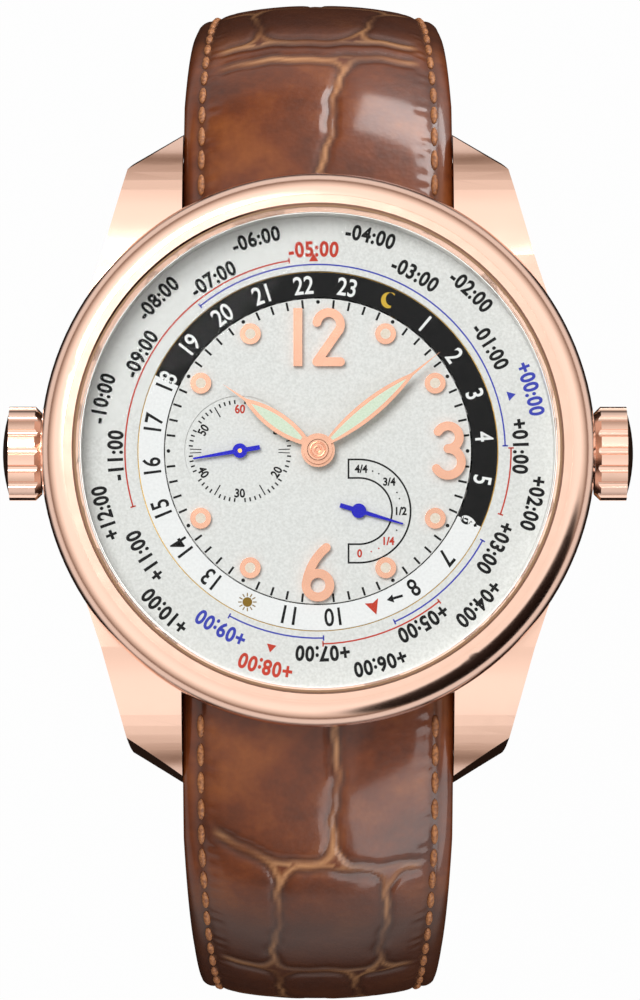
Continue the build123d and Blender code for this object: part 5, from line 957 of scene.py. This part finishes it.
stitch_lines = []
for node, side, bottom, end, first_rows, first_columns, seed in strap_halves:
    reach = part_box("strap_upper")[1].y if side > 0 else -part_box("strap_lower")[0].y
    counts = (round(34 * mm / strap_step), round(1.57 * (wide_level - bottom) / strap_step), round(26 * mm / strap_step))
    outer = strap_line(reach, bottom, end, case_end[1], counts)
    inner = strap_line(reach - body_thickness, bottom + layer, end, case_end[2], counts)
    lengths = np.concatenate(([0], np.cumsum(np.linalg.norm(np.diff(outer, axis=0), axis=1))))
    shares = np.linspace(0, 1, len(outer))
    spread = np.linspace(-1, 1, 91)
    spread = 0.6 * spread + 0.4 * np.sin(spread * math.pi / 2)
    rows, columns = hide_rows(first_rows, first_columns, lengths[-1] / mm, seed)

    def start_share(line, x):
        """Share of a line at which it leaves the round of the case, for points at x."""
        wall = np.sqrt(case_edge**2 - x**2)
        return np.interp(wall, line[:80, 0], shares[:80])

    def tail(y):
        """Half width of the rounded tail at a distance along the table."""
        left = np.clip(y - end, 0, 5 * mm)
        return 2.9 * mm + np.sqrt(np.maximum((5 * mm) ** 2 - (5 * mm - left) ** 2, 0)) if side < 0 else 1

    def surface(u, depth_share, rise):
        """Points at shares u of the width, between the outer and inner faces, raised by a height."""
        x_guess = u * half_widths[-1]
        f_outer = start_share(outer, x_guess) + (1 - start_share(outer, x_guess)) * shares[:, None]
        f_inner = start_share(inner, x_guess) + (1 - start_share(inner, x_guess)) * shares[:, None]
        top = along(outer, f_outer)
        low = along(inner, f_inner)
        way = top - low
        thick = np.linalg.norm(way, axis=-1, keepdims=True)
        place = low + way * depth_share + way / thick * rise[..., None]
        wide = np.interp(top[..., 1], width_heights, half_widths)
        wide = np.where((top[..., 1] < 6 * mm) & (top[..., 0] < 12 * mm), np.minimum(wide, tail(top[..., 0])), wide) if side < 0 else wide
        return np.stack((u * wide, side * place[..., 0], place[..., 1]), axis=-1), wide, f_outer, thick[..., 0]

    points, wide, f_outer, thick = surface(spread[None, :] * np.ones((len(shares), 1)), 1.0, np.zeros((len(shares), 91)))
    x = points[..., 0]
    s = np.interp(f_outer, shares, lengths) - np.interp(start_share(outer, np.zeros(1)), shares, lengths)
    distance = scale_seams(x, s, rows, columns)
    fade = np.clip((wide - 2.1 * mm - np.abs(x)) / (0.8 * mm), 0, 1)
    plump = np.clip((thick - layer) / (3.0 * mm), 0.12, 1)
    crown = 1.7 * mm * plump * (np.abs(spread) ** 2.3)[None, :]
    seam_groove = 0.16 * mm * np.exp(-(((np.abs(x) - (wide - stitch_inset)) / (0.42 * mm)) ** 2))
    edge = np.clip((np.abs(x) - (wide - 0.7 * mm)) / (0.7 * mm), 0, 1)
    turned = 0.45 * mm * (1 - np.sqrt(np.maximum(1 - edge**2, 0)))
    # Painted shade: the grooves beside each ridge between scales and the groove along the stitching are darkened in
    # colour.
    groove_shade_share = 0.6 * np.exp(-(((distance - 0.34 * mm) / (0.17 * mm)) ** 2)) * fade
    stitch_groove_shade = 0.55 * np.exp(-(((np.abs(x) - (wide - stitch_inset)) / (0.38 * mm)) ** 2))
    ridge_share = (0.42 + 0.3 * np.sin(700 * s + 500 * x)) * np.exp(-((distance / (0.17 * mm)) ** 2)) * fade
    pillow = 0.1 * mm * (1 - np.exp(-np.maximum(distance, 0) / (0.8 * mm))) * fade
    crumple = 0.05 * mm * np.sin(3400 * s + 2.1 * np.sin(1700 * s)) * np.exp(-(((np.abs(x) - (wide - 2.1 * mm)) / (0.5 * mm)) ** 2))
    rise = pillow + crumple - 0.2 * mm * groove_shade_share - seam_groove - crown - turned - 0.12 * mm
    top_grid, _, _, _ = surface(spread[None, :] * np.ones((len(shares), 1)), 1.0, rise)
    ring = [top_grid]
    floor_share = lining_depth / thick
    for place, u in ((0.75, 1), (0.4, 1), (0.0, 1), (0.0, 0.4), (0.0, -0.4), (0.0, -1), (0.4, -1), (0.75, -1)):
        column = np.full((len(shares), 1), float(u))
        edge_row = -1 if u > 0 else 0
        share = floor_share[:, [edge_row]]
        lowest, _, _, _ = surface(column, share[..., None], np.zeros((len(shares), 1)))
        highest = top_grid[:, edge_row][:, None, :]
        ring.append(lowest + (highest - lowest) * place)
    grid = np.concatenate(ring, axis=1)
    mesh = bpy.data.meshes.new(f"{node}_leather")
    faces = tube_faces(grid.shape[0], grid.shape[1])
    mesh.from_pydata(grid.reshape(-1, 3).tolist(), [], faces if side > 0 else [face[::-1] for face in faces])
    padding = ((0, 0), (0, grid.shape[1] - 91))
    # Painted shade: the leather darkens from 13 mm to 19 mm along the strap from the case and stays darker for the rest
    # of it. The pale ridges fade there too.
    painted_shade_share = 0.82 * np.clip((s - 13.0 * mm) / (6.0 * mm), 0, 1) + 0.0 * x
    for name, shade in (("ridge", ridge_share * (1 - 0.6 * painted_shade_share)), ("groove_shade", np.maximum(groove_shade_share, stitch_groove_shade)), ("painted_shade", painted_shade_share)):
        values = mesh.attributes.new(name, "FLOAT", "POINT")
        values.data.foreach_set("value", np.pad(shade, padding).ravel())
    flat = np.stack((grid[..., 0], np.concatenate([s] + [s[:, -1:]] * 3 + [s[:, 45:46]] * 2 + [s[:, :1]] * 3, axis=1)), axis=-1).reshape(-1, 2)
    hide = mesh.uv_layers.new(name="hide")
    corner_points = np.zeros(len(mesh.loops), dtype=int)
    mesh.loops.foreach_get("vertex_index", corner_points)
    hide.data.foreach_set("uv", flat[corner_points].ravel())
    shape = bmesh.new()
    shape.from_mesh(mesh)
    bmesh.ops.recalc_face_normals(shape, faces=shape.faces)
    shape.to_mesh(mesh)
    shape.free()
    mesh.polygons.foreach_set("use_smooth", [True] * len(mesh.polygons))
    half = link(f"{node}_leather", mesh, leather)

    lining_grid = []
    for share, u in ((1, -1), (1, 0), (1, 1), (0.4, 1), (0, 0.94), (0, 0), (0, -0.94), (0.4, -1)):
        column = np.full((len(shares), 1), u * 0.985)
        band, _, _, _ = surface(column, (floor_share[:, 45:46] * share)[..., None], np.zeros((len(shares), 1)))
        lining_grid.append(band)
    lining_grid = np.concatenate(lining_grid, axis=1)[::2]
    lining_mesh = bpy.data.meshes.new(f"{node}_lining")
    lining_mesh.from_pydata(lining_grid.reshape(-1, 3).tolist(), [], tube_faces(*lining_grid.shape[:2]))
    shape = bmesh.new()
    shape.from_mesh(lining_mesh)
    bmesh.ops.recalc_face_normals(shape, faces=shape.faces)
    shape.to_mesh(lining_mesh)
    shape.free()
    lining_mesh.polygons.foreach_set("use_smooth", [True] * len(lining_mesh.polygons))
    lining_mesh.set_sharp_from_angle(angle=math.radians(50))
    inside = link(f"{node}_lining", lining_mesh, calf)

    for piece in (half, inside):
        if side < 0:
            holes = []
            for n in range(4):
                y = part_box("buckle_bar")[0].y + 0.6 * mm - 4.95 * mm + n * 6 * mm
                oval = [(1.0 * mm * math.cos(a), y + 1.9 * mm * math.sin(a)) for a in np.linspace(0, 2 * math.pi, 24, endpoint=False)]
                holes.append(prism(oval, 0.5 * mm, 5 * mm))
            carve(piece, "DIFFERENCE", *holes)
        else:
            slot = [(-0.95 * mm, end - 3 * mm), (0.95 * mm, end - 3 * mm), (0.95 * mm, end + 2.4 * mm), (-0.95 * mm, end + 2.4 * mm)]
            carve(piece, "DIFFERENCE", prism(slot, 2 * mm, 9 * mm))
        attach(piece, "head")
        leather_only.objects.link(piece)
    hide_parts(node)
    for row_side in (-1, 1):
        lane = row_side * (wide[:, 0] - stitch_inset)
        shares_across = np.clip(lane / wide[:, 0], -1, 1)
        line = np.array([[np.interp(u, spread, top_grid[n, :, k]) for k in range(3)] for n, u in enumerate(shares_across)])
        stitch_lines.append(line[7:-12])

# Stitches: waxed linen thread, sewn through leather and lining and sunk into the pressed groove.
thread, tree = material("waxed_linen_thread")
place = add(tree, "ShaderNodeTexCoord").outputs["Object"]
twist = add(tree, "ShaderNodeTexNoise", {"Vector": place, "Scale": 4200.0, "Detail": 2.0})
hue = add(tree, "ShaderNodeValToRGB", {"Fac": twist.outputs["Fac"]})
stops(hue, (0.35, "#6A3C1E"), (0.65, "#A0673A"))
strands = add(tree, "ShaderNodeBump", {"Height": twist.outputs["Fac"], "Strength": 0.4, "Distance": 0.00005})
shader = add(tree, "ShaderNodeBsdfPrincipled", {"Base Color": hue.outputs["Color"], "Roughness": 0.6, "Normal": strands.outputs[0]})
add(tree, "ShaderNodeOutputMaterial", {"Surface": shader.outputs[0]})


sewing, given = tree_of("sewn_stitches", "Pitch", "Length", "Thickness")
path = add(sewing, "GeometryNodeMeshToCurve", {0: given["Geometry"]})
spots = add(sewing, "GeometryNodeCurveToPoints", {"Curve": path.outputs[0], "Length": given["Pitch"]}, mode="LENGTH")
bead = add(sewing, "GeometryNodeMeshUVSphere", {"Segments": 10, "Rings": 8, "Radius": 0.5})
size = add(sewing, "ShaderNodeCombineXYZ", {0: given["Length"], 1: given["Thickness"], 2: given["Thickness"]})
lay = add(sewing, "FunctionNodeAlignRotationToVector", {"Vector": spots.outputs["Tangent"]}, axis="X")
stitch = {"Points": spots.outputs["Points"], "Instance": bead.outputs["Mesh"], "Rotation": lay.outputs[0], "Scale": size.outputs[0]}
sewn = add(sewing, "GeometryNodeInstanceOnPoints", stitch)
soft = add(sewing, "GeometryNodeSetShadeSmooth", {0: sewn.outputs[0]})
finish_tree(sewing, soft.outputs[0], thread)
guide_points = []
guide_edges = []
for stitch_line in stitch_lines:
    first = len(guide_points)
    guide_points += stitch_line.tolist()
    guide_edges += [(first + n, first + n + 1) for n in range(len(stitch_line) - 1)]
guide_mesh = bpy.data.meshes.new("stitch_lines")
guide_mesh.from_pydata(guide_points, guide_edges, [])
stitches = grown("strap_stitches", guide_mesh, sewing, Pitch=2.2 * mm, Length=1.85 * mm, Thickness=0.56 * mm)
leather_only.objects.link(stitches)
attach(stitches, "head")

# Keepers: leather loops, one sewn to the upper half and one free, each bent square round both layers.
for node, name in (("fixed_keeper", "sewn_leather_keeper"), ("free_keeper", "free_leather_keeper")):
    low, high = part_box(node)
    loop_width = high.y - low.y
    loop_middle = (high.y + low.y) / 2
    loop_depth = 1.2 * mm
    curve = 1.6 * mm
    centre_height = (low.z + high.z) / 2
    path = []
    for quarter, (cx, cz) in enumerate(((1, 1), (-1, 1), (-1, -1), (1, -1))):
        for n in range(9):
            turn = math.radians(quarter * 90 + n * 90 / 8)
            out = np.array((math.cos(turn), math.sin(turn)))
            corner = np.array((cx * (high.x - curve), centre_height + cz * ((high.z - low.z) / 2 - curve)))
            path.append((corner, out, curve))
    section = []
    for n in range(25):
        y = -1 + 2 * n / 24
        edge_fall = 0.3 * mm * max(0, (abs(y) - 0.78) / 0.22) ** 2
        pressed = 0.1 * mm * math.exp(-(((abs(y) - 0.66) / 0.07) ** 2))
        section.append((y * loop_width / 2, -edge_fall - pressed - 0.02 * mm, pressed / (0.1 * mm)))
    section += [(loop_width / 2, -loop_depth + 0.15 * mm, 0), (loop_width / 2 - 0.1 * mm, -loop_depth, 0)]
    section += [(-loop_width / 2 + 0.1 * mm, -loop_depth, 0), (-loop_width / 2, -loop_depth + 0.15 * mm, 0)]
    points = []
    flat = []
    run = 0.0
    for number, (corner, out, curve) in enumerate(path):
        if number:
            run += float(np.linalg.norm(corner + out * curve - path[number - 1][0] - path[number - 1][1] * curve))
        for y, depth, _ in section:
            x, z = corner + out * (curve + depth)
            points.append((x, loop_middle + y, z))
            flat.append((loop_middle + y, run))
    ring = len(section)
    faces = []
    for row in range(len(path)):
        for n in range(ring):
            m = (n + 1) % ring
            after = (row + 1) % len(path)
            faces.append([row * ring + n, row * ring + m, after * ring + m, after * ring + n])
    mesh = bpy.data.meshes.new(name)
    mesh.from_pydata(points, [], faces)
    # Painted shade: the keepers' pressed lines are darkened in colour.
    values = mesh.attributes.new("groove_shade", "FLOAT", "POINT")
    values.data.foreach_set("value", [shade * 0.7 for _ in path for _, _, shade in section])
    mesh.attributes.new("ridge", "FLOAT", "POINT")
    # Painted shade: the keepers are darkened like the far strap, at 0.7 all over.
    painted_shade = mesh.attributes.new("painted_shade", "FLOAT", "POINT")
    painted_shade.data.foreach_set("value", [0.7] * len(points))
    hide = mesh.uv_layers.new(name="hide")
    corner_points = np.zeros(len(mesh.loops), dtype=int)
    mesh.loops.foreach_get("vertex_index", corner_points)
    hide.data.foreach_set("uv", np.array(flat)[corner_points].ravel())
    shape = bmesh.new()
    shape.from_mesh(mesh)
    bmesh.ops.recalc_face_normals(shape, faces=shape.faces)
    shape.to_mesh(mesh)
    shape.free()
    mesh.polygons.foreach_set("use_smooth", [True] * len(mesh.polygons))
    mesh.set_sharp_from_angle(angle=math.radians(50))
    keeper = link(name, mesh, leather)
    leather_only.objects.link(keeper)
    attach(keeper, body_of[node])
    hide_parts(node)


def turned(name, profile, paint, steps=48):
    """Turned piece: a profile of radius and height points, from the axis out and back to it, spun round."""
    mesh = bpy.data.meshes.new(name)
    points = [(r * math.cos(a), r * math.sin(a), z) for a in np.arange(steps) * 2 * math.pi / steps for r, z in profile]
    rows = len(profile)
    faces = []
    for n in range(steps):
        m = (n + 1) % steps
        faces += [[n * rows + k, m * rows + k, m * rows + k + 1, n * rows + k + 1] for k in range(rows - 1)]
    mesh.from_pydata(points, [], faces)
    shape = bmesh.new()
    shape.from_mesh(mesh)
    bmesh.ops.remove_doubles(shape, verts=shape.verts, dist=0.001 * mm)
    bmesh.ops.recalc_face_normals(shape, faces=shape.faces)
    shape.to_mesh(mesh)
    shape.free()
    mesh.polygons.foreach_set("use_smooth", [True] * len(mesh.polygons))
    mesh.set_sharp_from_angle(angle=math.radians(32))
    return link(name, mesh, paint)


# Inner ring: a bright silvered flange that stands between the city ring and the crystal.
flange, tree = material("silvered_inner_ring")
place = add(tree, "ShaderNodeTexCoord").outputs["Object"]
marks = add(tree, "ShaderNodeTexNoise", {"Vector": place, "Scale": 5000.0})
rough = add(tree, "ShaderNodeMapRange", {"Value": marks.outputs["Fac"], "To Min": 0.3, "To Max": 0.42})
metal = {"Base Color": tint("#DCDAD7"), "Metallic": 1.0, "Roughness": rough.outputs[0]}
shader = add(tree, "ShaderNodeBsdfPrincipled", metal)
add(tree, "ShaderNodeOutputMaterial", {"Surface": shader.outputs[0]})
low, high = city_face + 0.06 * mm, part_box("crystal_gasket")[0].z - 0.02 * mm
rings = [(17.42 * mm, low), (17.52 * mm, low), (17.52 * mm, high), (17.47 * mm, high), (17.42 * mm, low)]
inner_ring = turned("silvered_flange", rings, flange, steps=144)
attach(inner_ring, "head")

# Hub cap: a small turned cap with fine rings, pressed over the end of the minute hand's pipe.
top = max(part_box("minute_hand")[1].z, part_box("cannon_pinion")[1].z) + 0.08 * mm
rings = ((0, -0.2), (0.8, -0.2), (0.8, -0.06), (0.74, 0), (0.6, 0), (0.56, -0.05), (0.5, -0.05), (0.46, 0))
rings += ((0.3, 0), (0.26, -0.06), (0.2, -0.06), (0.15, 0), (0, 0))
cap = turned("minute_hub_cap", [(r * mm, top + z * mm) for r, z in rings], applied_gold)
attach(cap, body_of["minute_hand"])

# Buckle and tongue: rose gold, polished like the case.
polished("buckle_frame", "rose_gold_buckle", rose_gold, bevel=0.12 * mm)
polished("buckle_tongue", "rose_gold_tongue", rose_gold)
